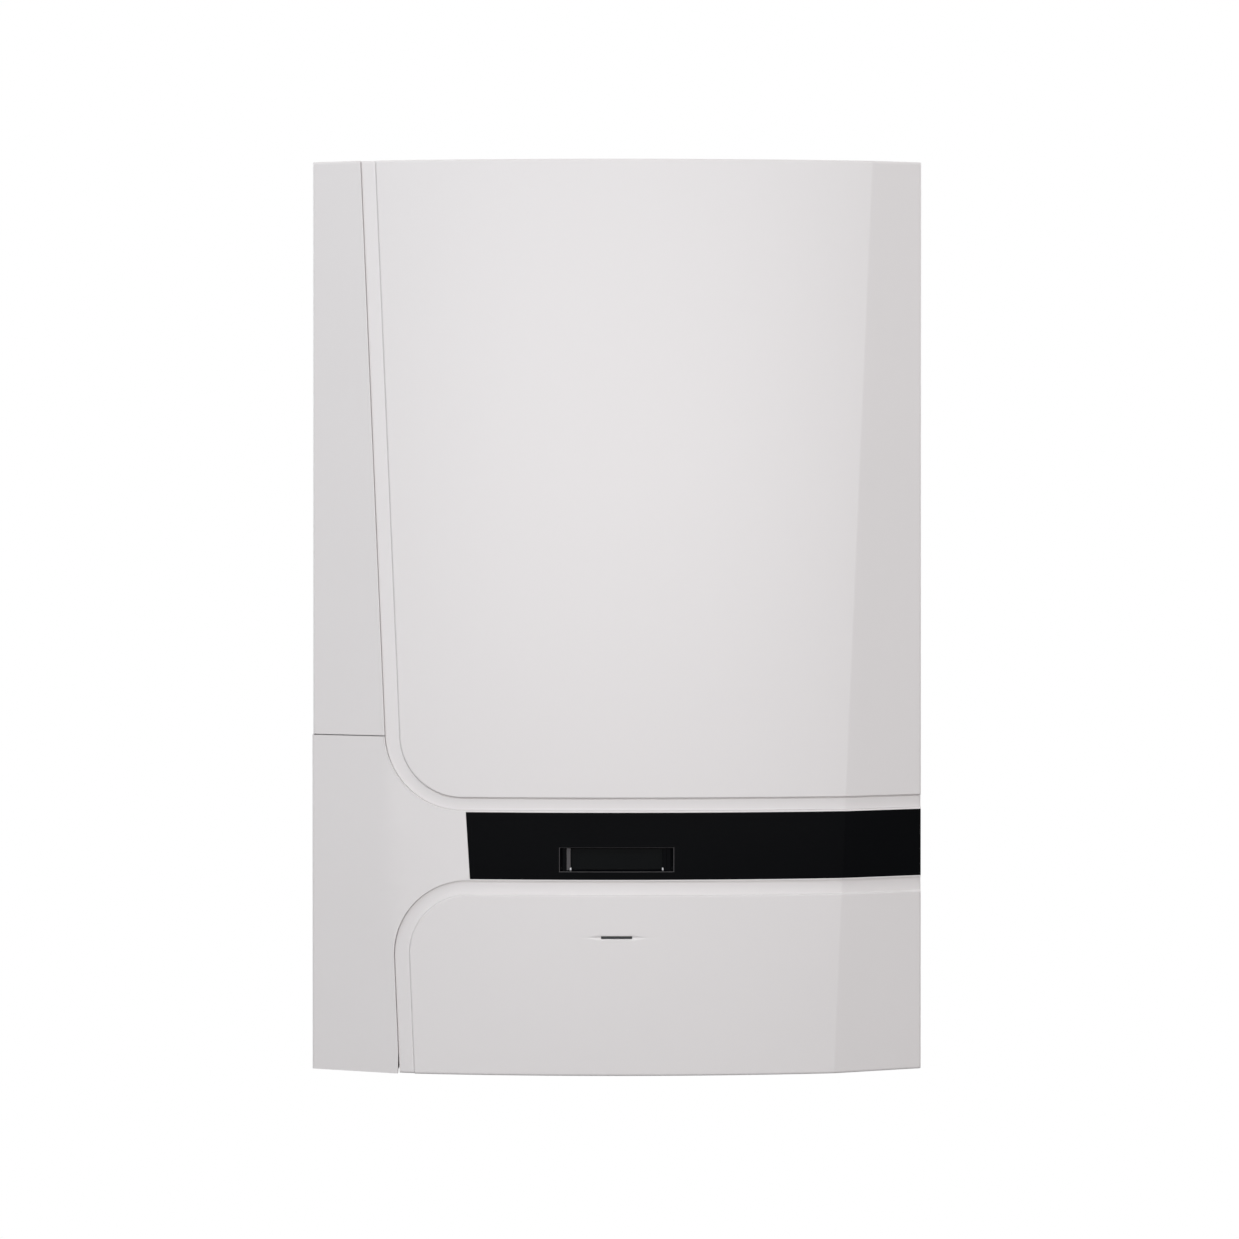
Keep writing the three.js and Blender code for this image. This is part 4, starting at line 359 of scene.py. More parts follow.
def setInputs(node, values):
    for socket, value in values.items():
        node.inputs[socket].default_value = value
    return node


def addNode(tree, kind, values=None):
    return setInputs(tree.nodes.new("ShaderNode" + kind), values or {})


def wire(tree, links):
    # each link: (node, its output, node, its input)
    for source, output, target, socket in links:
        tree.links.new(source.outputs[output], target.inputs[socket])


def material(name, colour, rough, grain, mottle, roughVary, metal=0.0, coat=0.0, spec=0.5):
    # fine noise lifts the surface, coarse noise moves the colour and the roughness
    made = bpy.data.materials.new(name)
    made.use_nodes = True
    tree, base = made.node_tree, rgb(*colour)
    shader = setInputs(tree.nodes["Principled BSDF"], {
        "Base Color": (*base, 1), "Roughness": rough, "Metallic": metal, "Coat Weight": coat,
        "Coat Roughness": 0.04, "Specular IOR Level": spec,
    })
    place = addNode(tree, "TexCoord")
    noise = addNode(tree, "TexNoise", {"Scale": grain[0], "Detail": grain[2]})
    bump = addNode(tree, "Bump", {"Strength": grain[1], "Distance": 0.0002})
    cloud = addNode(tree, "TexNoise", {"Scale": mottle[0], "Detail": 4})
    shades = addNode(tree, "ValToRGB")
    dark, light = shades.color_ramp.elements
    dark.position, light.position = 0.3, 0.7
    dark.color = (*base * (1 - mottle[1]), 1)
    light.color = (*np.minimum(1, base * (1 + mottle[1])), 1)
    spans = addNode(tree, "MapRange", {"To Min": rough - roughVary, "To Max": rough + roughVary})
    wire(tree, [
        (place, "Object", noise, "Vector"), (place, "Object", cloud, "Vector"),
        (noise, "Fac", bump, "Height"), (cloud, "Fac", shades, "Fac"), (cloud, "Fac", spans, "Value"),
        (bump, "Normal", shader, "Normal"), (shades, "Color", shader, "Base Color"),
        (spans, "Result", shader, "Roughness"),
    ])
    return made


looks = {name: material(name, *settings[:-1], **settings[-1]) for name, settings in finishes.items()}


def dress(piece, look):
    piece.data.materials.clear()
    piece.data.materials.append(looks[look])


slotOf, bodyOf = {}, {}
for part in frame["record"]["subparts"]:
    slotOf[part["node"]] = part["material_slot"]
    dress(frame["nodes"][part["node"]], slotLooks[part["material_slot"]])
for body, nodes in frame["record"]["behaviour"]["bodies"].items():
    bodyOf.update(dict.fromkeys(nodes, body))
print("solids finished")

# bordered mouldings: a field, a recessed border on two sides, deep walls on the other two
forward = (0, -1, 0)
lean = math.atan((front["creaseHigh"] - front["creaseLow"]) / caseHeight)
edgeFall = front["edgeRound"] * (1 - np.cos(quarterTurn()))  # depth lost over the lines of a deep outer edge
step = {
    "round": 0.2,  # roundings at the foot and the lip
    "grooveFar": 0.75,  # the shadow groove's floor, from the step's foot outwards
    "grooveNear": 0.25,
    "grooveWall": 0.05,
    "margin": 0.1,  # from the groove to the next line of points
    "fieldFrom": 1.0,  # from the step's top inwards
}


def borderProfile(v):
    # (inset, depth) from the parting line in: rim, border floor, groove, step, start of the field
    small, deep, r = front["lineRound"], front["borderDepth"], step["round"]
    start, end = v["sideWidth"] - front["draft"] / 2, v["sideWidth"] + front["draft"] / 2
    inner = deep - v["tilt"]
    lip = start - step["grooveFar"] - step["grooveWall"]
    return np.concatenate([
        [[v["parting"], front["rim"]], [v["parting"], deep + small + 0.2]],
        arc((v["parting"] + small, deep + small), small, 180, 270, 4),
        [[v["parting"] + small + 0.3, deep], [lip - step["margin"], inner], [lip, inner]],
        [[start - step["grooveFar"], inner], [start - step["grooveNear"], inner]],
        arc((start - r, inner - r), r, 90, 20, 3),
        arc((end + r, r), r, 200, 270, 4),
        [[end + step["fieldFrom"], 0]],
    ])


def facetColumns(z):
    # x of the columns right of the bowed middle: round the crease, over the facet, round the outer edge
    c, soft, r = crease(z), front["creaseSoft"], front["edgeRound"]
    return np.concatenate([
        c + soft * np.array([-1, -0.5, 0, 0.5, 1]),
        c + soft + (halfWidth - r - front["margin"] - c - soft) * spread(0, 1, 4)[1:],
        halfWidth - r + r * np.sin(quarterTurn()) + 0 * z,
    ], -1)


def edgeDepth(x):
    # the depth that each column loses: none but round the outer edge, over the last ones
    depth = np.zeros(x.shape)
    depth[..., -len(edgeFall):] = edgeFall
    return depth


def columnsAt(z, xLeft, v):
    # x of every column in the row at height z: shares of each stretch between the left side,
    # the fixed columns, the crease and the right edge
    z, xLeft = np.broadcast_arrays(np.asarray(z, float), np.asarray(xLeft, float))
    z, xLeft = z[..., None], xLeft[..., None]
    fixed, share = np.asarray(v["columns"], float), spread(0, 1, front["stretchSteps"])
    left = xLeft + (fixed[0] - xLeft) * share[:-1]
    right = fixed[-1] + (crease(z) - front["creaseSoft"] - fixed[-1]) * share[1:-1]
    x = np.concatenate([left, fixed + 0 * z, right, facetColumns(z)], -1)
    return x, edgeDepth(x)


def borderedMoulding(name, v, node, body, dent=None, hole=None):
    # the field's rows go round the corner and then straight on to the edge line
    up = 1 if v["edgeLine"] > v["borderLine"] else -1  # the way from the border line to the edge line
    r, radius, back = front["edgeRound"], v["cornerRadius"], -v["wallBack"]
    centreZ = v["borderLine"] + up * radius
    centreX = radius / math.cos(lean) - crease(centreZ)
    profile = borderProfile(v)
    inner = profile[-1, 0]
    outwards, slack = v["sideWidth"] - front["draft"] / 2 - profile[:, 0], step["grooveWall"] / 2
    inGroove = (outwards < step["grooveFar"] + slack) & (outwards > step["grooveNear"] - slack)

    def widen(inset, degrees):
        # the border's width changes from the side's to the line's with the sine of the angle
        share = np.clip(np.sin(np.radians(degrees)), 0, 1)
        grow = (v["lineWidth"] - v["sideWidth"]) * share
        close = (v["lineParting"] - v["parting"]) * share
        return inset + grow * np.clip(inset / v["sideWidth"], 0, 1) + close * np.clip(1 - inset / 2, 0, 1)

    def turnFor(z):
        # the angle at which the field's corner is at height z, found by putting each answer back in
        degrees = 45.0
        for _ in range(30):
            degrees = math.degrees(math.asin((centreZ - z) * up / (radius - widen(inner, degrees))))
        return degrees

    # angles round the corner, from the border line (90) to the slanted side
    angles = spread(90, math.degrees(lean) * up, 24)
    wanted = [turnFor(z) for z in v["rows"]]
    if wanted:
        keep = (angles > max(wanted) + 2) | (angles < min(wanted) - 2)
        angles = np.sort(np.concatenate([angles[keep], wanted]))[::-1]
    arcRadius = radius - widen(inner, angles)
    arcX = centreX - arcRadius * np.cos(np.radians(angles))
    arcZ = centreZ - up * arcRadius * np.sin(np.radians(angles))
    lineZ = spread(arcZ[-1], v["edgeLine"] - up * (r + front["margin"]), v["lineSteps"])[1:]
    roundZ = v["edgeLine"] - up * r * (1 - np.sin(quarterTurn()))
    straightZ = np.concatenate([lineZ, roundZ])
    rowZ = np.concatenate([arcZ, straightZ])
    rowX = np.concatenate([arcX, inner / math.cos(lean) - crease(straightZ)])
    rowDepth = np.concatenate([0 * arcZ, 0 * lineZ, edgeFall])
    x, extra = columnsAt(rowZ, rowX, v)
    z = rowZ[:, None] + 0 * x
    depth = extra + rowDepth[:, None]
    if dent:
        depth = depth + dent(x, z)
    field = onFront(x, z, depth)
    # the border strip: the profile carried down the slanted side, round the corner and along
    inset = profile[:, 0]
    sideZ = straightZ[::-1, None] + 0 * inset
    sideX = inset / math.cos(lean) - crease(sideZ)
    sideExtra = np.concatenate([edgeFall[::-1], 0 * lineZ])[:, None]
    turnAt = angles[::-1][:, None]
    turnRadius = radius - widen(inset, turnAt)
    turnX = centreX - turnRadius * np.cos(np.radians(turnAt))
    turnZ = centreZ - up * turnRadius * np.sin(np.radians(turnAt))
    alongZ = v["borderLine"] + up * widen(inset, 90)
    alongX, alongExtra = columnsAt(alongZ, centreX, v)
    stripX = np.concatenate([sideX, turnX, alongX.T[1:]])
    stripZ = np.concatenate([sideZ, turnZ, np.broadcast_to(alongZ, alongX.T.shape)[1:]])
    stripExtra = np.concatenate([sideExtra + 0 * sideX, 0 * turnX, alongExtra.T[1:]])
    # the groove is cut deeper with the square of the sine of the corner's angle
    share = np.concatenate([0 * sideX, 0 * turnX + np.sin(np.radians(turnAt)) ** 2, 1 + 0 * alongX.T[1:]])
    strip = onFront(stripX, stripZ, profile[:, 1] + stripExtra + v["groove"] * inGroove * share)
    # the deep walls: right, at the edge line, and at the strip's two ends from below the rim inwards
    walls = [wallGrid(line, back) for line in (field[:, -1], field[-1], strip[0, 1:], strip[-1, 1:])]
    grids = [field, *walls[:2], strip, *walls[2:], *v.get("holeWalls", list)()]
    surface(
        name, grids, body, "white_moulding", [node], wall=front["skin"], toward=forward,
        inside=hole(x, z) if hole else None, notches=v.get("notches", ()),
    )


mainPanel = {
    "borderLine": 193.5,
    "edgeLine": caseHeight,
    "cornerRadius": 57.0,
    "sideWidth": 11.1,  # to the middle of the step
    "lineWidth": 9.4,
    "tilt": 0.0,  # how much shallower the border is beside the step
    "groove": 1.1,  # depth of the shadow line at the foot of the step, along the border line
    "parting": 0.2,
    "lineParting": 0.04,
    "wallBack": coverBack,
    "columns": spread(-60, 60, 8),
    "rows": [],
    "lineSteps": 10,
}
borderedMoulding("mainPanel", mainPanel, "main_panel", "front_cover")
print("main panel made")

guideSlot = {
    "height": 101.1, "halfWide": 11.35, "halfTall": 1.05, "wing": 10.5, "wingTall": 1.5, "wingDepth": 1.1,
    "depths": (0.0, 0.3, 2.6),  # of the lines down the slot's wall
}


def slotDent(x, z):
    # two dents taper from the slot's ends: depth and height both fall to nothing at the tips
    fall = np.clip(1 - (np.abs(x) - guideSlot["halfWide"]) / guideSlot["wing"], 0, 1)
    high = np.abs(z - guideSlot["height"])
    across = np.clip(1 - high / np.maximum(guideSlot["wingTall"] * fall, 1e-6), 0, 1)
    return guideSlot["wingDepth"] * fall * across


def within(values, middle, half):
    return np.abs(values - middle) < half + 0.01


def inSlotX(x):
    return within(x, 0, guideSlot["halfWide"])


def inSlotZ(z):
    return within(z, guideSlot["height"], guideSlot["halfTall"])


def slotHole(x, z):
    return inSlotX(x) & inSlotZ(z)


def boxRing(inX, inZ):
    # once round a rectangle, from the lower left corner along the lower side first
    return np.concatenate([
        np.stack([inX, 0 * inX + inZ[0]], -1), np.stack([0 * inZ + inX[-1], inZ], -1)[1:],
        np.stack([inX[::-1], 0 * inX + inZ[-1]], -1)[1:], np.stack([0 * inZ + inX[0], inZ[::-1]], -1)[1:],
    ])


def slotWalls():
    columns, rows = flapPanel["columns"], np.array(flapPanel["rows"])
    ring = boxRing(columns[inSlotX(columns)], rows[inSlotZ(rows)])
    depths = np.array(guideSlot["depths"])[:, None] + slotDent(ring[:, 0], ring[:, 1])
    return [onFront(ring[:, 0], ring[:, 1], depths)]


hinge = {
    "y": -coverBack - 53.0,
    "z": 10.0,
    "armRadius": 5.0,
    "armWidth": 3.5,
    "armRoot": (2.0, 25.0),  # heights of the arm's corners on the flap
    "pinRadius": 2.5,
    "pinReach": 4.0,
    "leftPin": 10.0 - crease(10.0),
    "rightPin": halfWidth - 12.0,
    "earWidth": 3.8,
    "earGap": 0.2,
    "earClear": 7.0,  # the ears' slots reach this far in front of the pins
    "earTop": 2.8,
    "sunk": 0.2,  # how deep the arms stand in the flap
    "latchZ": 129.5,
    "latchFrom": (-72.0, 60.0),
    "latchWide": 12.0,
    "latchReach": (1.9, 10.5),  # depths behind the face
    "latchTall": 2.5,
}
# slots in the flap's lower wall, which clear the frame's ears as it swings
earNotches = [
    ((x, hinge["y"] - hinge["earClear"], -1.0), (x + hinge["earWidth"], -coverBack, hinge["earTop"]))
    for x in (hinge["leftPin"] - hinge["earWidth"], hinge["rightPin"] - hinge["earGap"])
]
wingAt = guideSlot["halfWide"] + guideSlot["wing"] * spread(0, 1, 4)
flapPanel = {
    "borderLine": 142.2,
    "edgeLine": 0.0,
    "cornerRadius": 54.5,
    "sideWidth": 11.4,
    "lineWidth": 10.5,
    "tilt": 0.9,
    "groove": 0.0,
    "parting": 0.26,
    "lineParting": 0.26,
    "wallBack": 402.5,
    "columns": np.concatenate([[-60, -40], -wingAt[::-1], [-6, 0, 6], wingAt, [40, 60]]),
    "rows": [guideSlot["height"] + rise for rise in (-2.2, -1.5, -1.05, -0.5, 0, 0.5, 1.05, 1.5, 2.2)],
    "holeWalls": slotWalls,
    "notches": earNotches,
    "lineSteps": 8,
}
borderedMoulding("flapPanel", flapPanel, "flap", "flap_door", slotDent, slotHole)
print("flap made")

# left trim
trim = {
    "left": -halfWidth + 0.7,
    "bottom": 247.7,
    "edge": 0.45,  # rounding beside the parting lines
    "rowsFrom": 8.0,
    "cornerBlend": 0.3,  # share of the lesser depth added where two roundings meet
    "columns": 6,
    "rows": 14,
}


def makeTrim():
    # columns from the deep left wall to the slanted edge, rows from the parting to the top wall
    r, e, quarter = front["edgeRound"], trim["edge"], quarterTurn()
    margin, rim = front["margin"], front["rim"]
    rowZ = np.concatenate([
        [trim["bottom"], trim["bottom"]],
        trim["bottom"] + e * (1 - np.cos(quarter)),
        [trim["bottom"] + e + margin],
        spread(trim["bottom"] + trim["rowsFrom"], caseHeight - trim["rowsFrom"], trim["rows"]),
        [caseHeight - r - margin],
        caseHeight - r + r * np.sin(quarter),
    ])
    rowDepth = np.concatenate([
        [rim, e + margin], e * (1 - np.sin(quarter)), np.zeros(trim["rows"] + 3), edgeFall,
    ])[:, None]
    rightX = -crease(rowZ)[:, None]
    leftRound = trim["left"] + edgeFall + 0 * rightX
    rightRound = rightX - e * (1 - np.sin(quarter))
    between = rightRound[:, :1] - leftRound[:, -1:] - 2 * margin
    inner = leftRound[:, -1:] + margin + between * spread(0, 1, trim["columns"])
    x = np.concatenate([leftRound, inner, rightRound, rightX, rightX], 1)
    columnDepth = np.concatenate([
        r * (1 - np.sin(quarter)), np.zeros(trim["columns"] + 1), e * (1 - np.cos(quarter)),
        [e + margin, rim],
    ])
    depth = np.maximum(rowDepth, columnDepth) + trim["cornerBlend"] * np.minimum(rowDepth, columnDepth)
    face = onFront(x, rowZ[:, None], np.minimum(depth, rim))
    grids = [face, wallGrid(face[2:, 0], -coverBack), wallGrid(face[-1, :-2], -coverBack)]
    surface(
        "leftTrim", grids, "front_cover", "white_moulding", ["left_trim"], wall=front["skin"], toward=forward,
    )


makeTrim()
print("left trim made")

# bridge panel: a left column, two hollow corners and a tongue that carries the strip
bridge = {
    "top": 247.1,
    "relief": 0.9,  # cut back beside the flap's lowest stretch
    "reliefTall": 16.0,
    "lip": 0.85,  # width of the white edge above and below the strip
    "lowRound": 0.3,  # rounding of the tongue's lower edge
    "highRound": 1.1,  # and of its upper one, which catches the light
    "pocketDepth": 3.2,
    "windowClear": 2.0,  # from the window to the hole round it in the pocket's floor
}
strip = {
    "top": 192.3,
    "bottom": 143.3,
    "topLeft": -110.4,
    "bottomLeft": -107.3,
    "gap": 0.25,
    "thickness": 2.9,
    "soft": 0.35,  # rounding of its own edges
    "margin": 0.3,
    "windowHeight": 158.0,
    "windowHalfWide": 42.0,
    "windowHalfTall": 9.0,
    "windowMargin": 0.6,
    "rowsApart": 6.0,  # plain rows above the window keep this far from it and from the top
    "funnel": [
        # (inset at the sides, inset above and below, depth): lip, slope, step, band of painted reflection,
        # last fall
        (0, 0, 0), (0.3, 0.2, 0.15), (0.5, 0.35, 0.5), (2.4, 0.5, 3.4), (2.7, 0.42, 3.9), (5.2, 0.8, 4.3),
        (5.5, 0.85, 4.9), (8.2, 1.2, 5.3), (8.35, 1.3, 6.4), (8.5, 1.5, 9.4),
    ],
    "paintedReflectionAt": (-36.6, -33.7),  # the band of painted reflection on the left side of the funnel, in x
    "paintedReflectionDeep": 4.5,
    "paintedLipHighlightDepth": (0.02, 0.6),  # the funnel's lip carries painted highlight in the same grey
}


def stripLeft(z):
    share = (z - strip["bottom"]) / (strip["top"] - strip["bottom"])
    return strip["bottomLeft"] + (strip["topLeft"] - strip["bottomLeft"]) * share


def tongueColumns(z, xLeft):
    z = np.asarray(z, float)[..., None]
    middle = xLeft + (crease(z) - front["creaseSoft"] - xLeft) * spread(0, 1, 30)[1:-1]
    x = np.concatenate([xLeft + 0 * z, middle, facetColumns(z)], -1)
    return x, edgeDepth(x)


def tongueEdge(small):
    # (inset, depth) over the white edge beside the strip: up the parting, round, and in to the lip
    return np.concatenate([
        [[0, front["rim"]], [0, small + 0.3]], arc((small, small), small, 180, 270, 4), [[bridge["lip"], 0]],
    ])


def makeBridge():
    edge, highEdge = tongueEdge(bridge["lowRound"]), tongueEdge(bridge["highRound"])
    inset, highInset = edge[:, 0], highEdge[:, 0]
    lowLine, lowRadius = flapPanel["borderLine"], flapPanel["cornerRadius"]
    highLine, highRadius = mainPanel["borderLine"], mainPanel["cornerRadius"]
    # the lower edge path: up beside the flap, round the corner, along under the strip
    lowZ = lowLine - lowRadius
    lowX = lowRadius / math.cos(lean) - crease(lowZ)
    relief = bridge["reliefTall"]
    sideZ = np.concatenate([[0, 0.3, 2], spread(relief, lowZ - lowRadius * math.sin(lean) - 1, 6)])[:, None]
    cutBack = bridge["relief"] * np.clip(1 - sideZ / relief, 0, 1)
    sideX = -crease(sideZ) - cutBack - inset
    angle = np.radians(spread(math.degrees(lean), -90, 24))[:, None]
    turnX = lowX - (lowRadius + inset) * np.cos(angle)
    turnZ = lowZ - (lowRadius + inset) * np.sin(angle)
    startLow = stripLeft(strip["bottom"]) - strip["gap"]
    alongLow = lowLine + inset
    alongX, extra = tongueColumns(alongLow, startLow)
    lowPath = onFront(
        np.concatenate([sideX, turnX, alongX.T]),
        np.concatenate([sideZ + 0 * inset, turnZ, np.broadcast_to(alongLow, alongX.T.shape)]),
        edge[:, 1] + np.concatenate([0 * sideX, 0 * turnX, extra.T]),
    )
    # the upper edge path: from the parting down round the corner, along above the strip
    highZ = highLine + highRadius
    highX = highRadius / math.cos(lean) - crease(highZ)
    first = math.degrees(math.asin((highZ - bridge["top"]) / highRadius))
    angle = np.radians(spread(first, 90, 24))[:, None]
    turnX = highX - (highRadius + highInset) * np.cos(angle)
    turnZ = highZ - (highRadius + highInset) * np.sin(angle)
    turnZ[0] = bridge["top"]
    startHigh = stripLeft(strip["top"]) - strip["gap"]
    alongHigh = highLine - highInset
    highAlongX, highExtra = tongueColumns(alongHigh, startHigh)
    highPath = onFront(
        np.concatenate([turnX, highAlongX.T]),
        np.concatenate([turnZ, np.broadcast_to(alongHigh, highAlongX.T.shape)]),
        highEdge[:, 1] + np.concatenate([0 * turnX, highExtra.T]),
    )
    # the pocket: from each lip down a wall and in over the floor, and the same at its left end
    deep = bridge["pocketDepth"]
    fall = np.array([[0, 0], [0.12, 0.03], [0.2, 0.12], [0.23, 0.3], [0.23, deep], [4, deep]])

    def pocketSide(line, sign, start):
        z = line + sign * fall[:, 0]
        x, more = tongueColumns(z, start)
        return onFront(x.T, np.broadcast_to(z, x.T.shape), fall[:, 1] + more.T)

    lowLip, highLip = lowLine + bridge["lip"], highLine - bridge["lip"]
    lowFall, highFall = pocketSide(lowLip, 1, startLow), pocketSide(highLip, -1, startHigh)
    endZ = spread(lowLip, highLip, 12)
    endX = spread(startLow, startHigh, 12)
    endFall = onFront(endX[:, None] + fall[:, 0], endZ[:, None], fall[:, 1])
    # the left field is ruled from the deep left edge to the right boundary
    lowEnds, highEnds = lowPath[:len(sideZ) + len(turnZ) + 1, -1], highPath[:len(turnZ) + 1, -1][::-1]
    rightX = np.concatenate([lowEnds[:, 0], endX[1:-1], highEnds[:, 0]])
    rightZ = np.concatenate([lowEnds[:, 2], endZ[1:-1], highEnds[:, 2]])
    # each row starts between an even spacing and its right end's height
    even = bridge["top"] * spread(0, 1, len(rightZ) - 1)
    leftZ = (0.6 * even + 0.4 * np.clip(rightZ, 0, bridge["top"]))[:, None]
    leftRound = -halfWidth + edgeFall + 0 * leftZ
    shares = np.concatenate([spread(0.01, 0.985, 12), [1]])
    x = np.concatenate([leftRound, leftRound[:, -1:] + (rightX[:, None] - leftRound[:, -1:]) * shares], 1)
    z = np.concatenate([leftZ + 0 * leftRound, leftZ + (rightZ[:, None] - leftZ) * shares], 1)
    face = onFront(x, z, np.concatenate([edgeFall[::-1], 0 * shares]) + 0 * x)
    floorEnd = np.concatenate([lowFall[-1], highFall[-1][::-1]])
    lines = (face[0], face[:, 0], lowPath[-1], highPath[-1], floorEnd)
    walls = [wallGrid(line, -coverBack) for line in lines]
    topRim = np.stack([face[-1], face[-1] + [0, front["rim"], 0]])
    # the pocket's floor goes round the window's box
    half, tall = (strip[side] + bridge["windowClear"] for side in ("windowHalfWide", "windowHalfTall"))
    mid = strip["windowHeight"]
    low, high = lowFall[:, -1], highFall[:, -1]
    floorDeep = low[:, 1] + caseDepth - bow(low[:, 0], low[:, 2])

    def floorPatch(columns, lowRow, highRow):
        # each column runs straight from the pocket's lower floor line to its upper one
        z = np.array([lowRow, highRow])[:, None]
        share = (z - low[columns, 2]) / (high[columns, 2] - low[columns, 2])
        x = low[columns, 0] + share * (high[columns, 0] - low[columns, 0])
        return onFront(x, z, floorDeep[columns])

    before, after = low[:, 0] <= -half, low[:, 0] >= half
    over = ~before & ~after
    over[np.argmax(over) - 1] = over[len(over) - np.argmax(over[::-1])] = True
    floors = [
        floorPatch(before, low[0, 2], high[0, 2]), floorPatch(after, low[0, 2], high[0, 2]),
        floorPatch(over, low[0, 2], mid - tall), floorPatch(over, mid + tall, high[0, 2]),
    ]
    grids = [face, lowPath, highPath, lowFall, highFall, endFall, walls[0], topRim, *walls[1:], *floors]
    surface("bridgePanel", grids, "front_cover", "white_moulding", ["bridge_panel"], toward=forward)


makeBridge()
print("bridge made")


# control strip with its funnel window
def makeStrip():
    # rows and columns close up round the edges and the window; depth follows the nearest edge's rounding
    soft, margin, thick, quarter = strip["soft"], strip["margin"], strip["thickness"], quarterTurn(3)
    low, high = strip["bottom"], strip["top"]
    w, tall = strip["windowHalfWide"], strip["windowHalfTall"]
    mid, clear, apart = strip["windowHeight"], strip["windowMargin"], strip["rowsApart"]
    inX, inZ = spread(-w, w, 10), spread(mid - tall, mid + tall, 4)
    rowZ = np.concatenate([
        [low], low + soft * (1 - np.cos(quarter)), [low + soft + margin],
        [mid - tall - clear], inZ, [mid + tall + clear], spread(mid + tall + apart, high - apart, 2),
        [high - soft - margin], high - soft + soft * np.sin(quarter), [high],
    ])
    rowDepth = np.zeros(len(rowZ))
    rowDepth[[0, -1]] = thick
    rowDepth[1:5] = soft * (1 - np.sin(quarter))
    rowDepth[-5:-1] = soft * (1 - np.cos(quarter))
    z = rowZ[:, None]
    left = stripLeft(z)
    leftRound = left + soft * (1 - np.cos(quarter))
    near, far = leftRound[:, -1:] + margin, w + clear
    toCrease = far + (crease(z) - front["creaseSoft"] - far) * spread(0, 1, 10)[1:-1]
    right = facetColumns(z)
    x = np.concatenate([
        left, leftRound, near + (-far - near) * spread(0, 1, 6), inX + 0 * z, far + 0 * z, toCrease,
        right, right[:, -1:],
    ], 1)
    columnDepth = np.zeros(x.shape[1])
    columnDepth[0], columnDepth[1:5] = thick, soft * (1 - np.sin(quarter))
    columnDepth[-7:-1] = edgeFall
    columnDepth[-1] = front["edgeRound"] + thick
    depth = np.minimum(rowDepth[:, None] + columnDepth, np.maximum(thick, columnDepth))
    inside = within(x, 0, w) & within(z, mid, tall)
    # the funnel: the opening's outline drawn in towards the inner one as it goes back
    ring, steps = boxRing(inX, inZ), np.array(strip["funnel"])
    bowed = bow(ring[:, 0], ring[:, 1]) * (1 - steps[:, 2:] / steps[-1, 2])
    funnel = np.stack([
        ring[:, 0] * (1 - steps[:, :1] / w), bowed + steps[:, 2:] - caseDepth,
        mid + (ring[:, 1] - mid) * (1 - steps[:, 1:2] / tall),
    ], -1)
    piece = surface(
        "controlStrip", [onFront(x, z, depth), funnel], "front_cover", "gloss_black", ["control_strip"],
        toward=forward, inside=inside,
    )
    # a second, lighter grey finish, painted where the funnel shows reflection and highlight
    piece.data.materials.append(looks["paintedReflectionGrey"])
    middles = np.empty(len(piece.data.polygons) * 3)
    piece.data.polygons.foreach_get("center", middles)
    atX, atY, atZ = middles.reshape(-1, 3).T / mm
    off = np.abs(atZ - casingFloor / mm - mid)  # above or below the window's middle
    band, lip = strip["paintedReflectionAt"], strip["paintedLipHighlightDepth"]
    # painted reflection: a grey band down the funnel's left wall
    paintedLightFaces = (atX > band[0]) & (atX < band[1]) & (atY > strip["paintedReflectionDeep"] - caseDepth) & (off < tall - 0.8)
    behind = atY + caseDepth - bow(atX, mid)
    # painted highlight: the lip all round the window
    paintedLightFaces |= (behind < lip[1]) & (behind > lip[0]) & (np.abs(atX) < w + 0.1) & (off < tall + 0.1)
    piece.data.polygons.foreach_set("material_index", paintedLightFaces.astype(np.int32))


makeStrip()
# two pale pegs at the window's lower corners; their light colour is painted glints
peg = {"x": 33.7, "z": 150.6, "wide": 1.2, "tall": 2.2, "corner": 0.4, "depths": (9.0, 5.2), "rim": 0.25}
for name, x in (("windowPegLeft", -peg["x"]), ("windowPegRight", peg["x"])):
    shape = roundedRect(x, peg["z"], peg["wide"], peg["tall"], peg["corner"])
    low, high = (caseDepth - depth for depth in peg["depths"])
    surface(name, [pad(shape, low, high, peg["rim"], "y")], "front_cover", "gloss_black", look="paleGlintPeg")
print("control strip made")


# pieces behind the cover: each takes the place of its plain solid and that solid's finish
def camel(node):
    first, *rest = node.split("_")
    return first + "".join(word.capitalize() for word in rest)


def stands(node, grids):
    # closed surfaces in place of one solid
    surface(camel(node), grids, bodyOf[node], slotOf[node], [node])


def beside(name, grids, slot, body="boiler"):
    # closed surfaces that no solid stands for, such as nuts and screws
    surface(name, grids, body, slot)


def turned(profile, u, v, axis="z", soften=0.5, steps=64, wave=None):
    # an outline in (radius, h) with softened corners, turned once round its axis
    touches = min(radius for radius, h in profile) < 1e-6
    return lathe(rounded(profile, soften, 3, closed=not touches), u, v, axis, steps, wave)


def ring(inner, outer, low, high, u, v, axis="z", soften=0.4, steps=64):
    return turned([(inner, low), (outer, low), (outer, high), (inner, high)], u, v, axis, soften, steps)


def disc(radius, low, high, u, v, axis="z", soften=0.5, steps=48, wave=None):
    return turned([(0, low), (radius, low), (radius, high), (0, high)], u, v, axis, soften, steps, wave)


def threaded(bore, outer, low, high, top, pitch=1.8, deep=0.6):
    # a tube whose outside runs in and out once a pitch between low and high, plain up to top
    h = np.arange(low, high, pitch / 2)
    crest = np.where(np.arange(len(h)) % 2 == 0, outer - deep, outer)
    return [(bore, low), *zip(crest.tolist(), h.tolist()), (outer, high + pitch), (outer, top), (bore, top)]


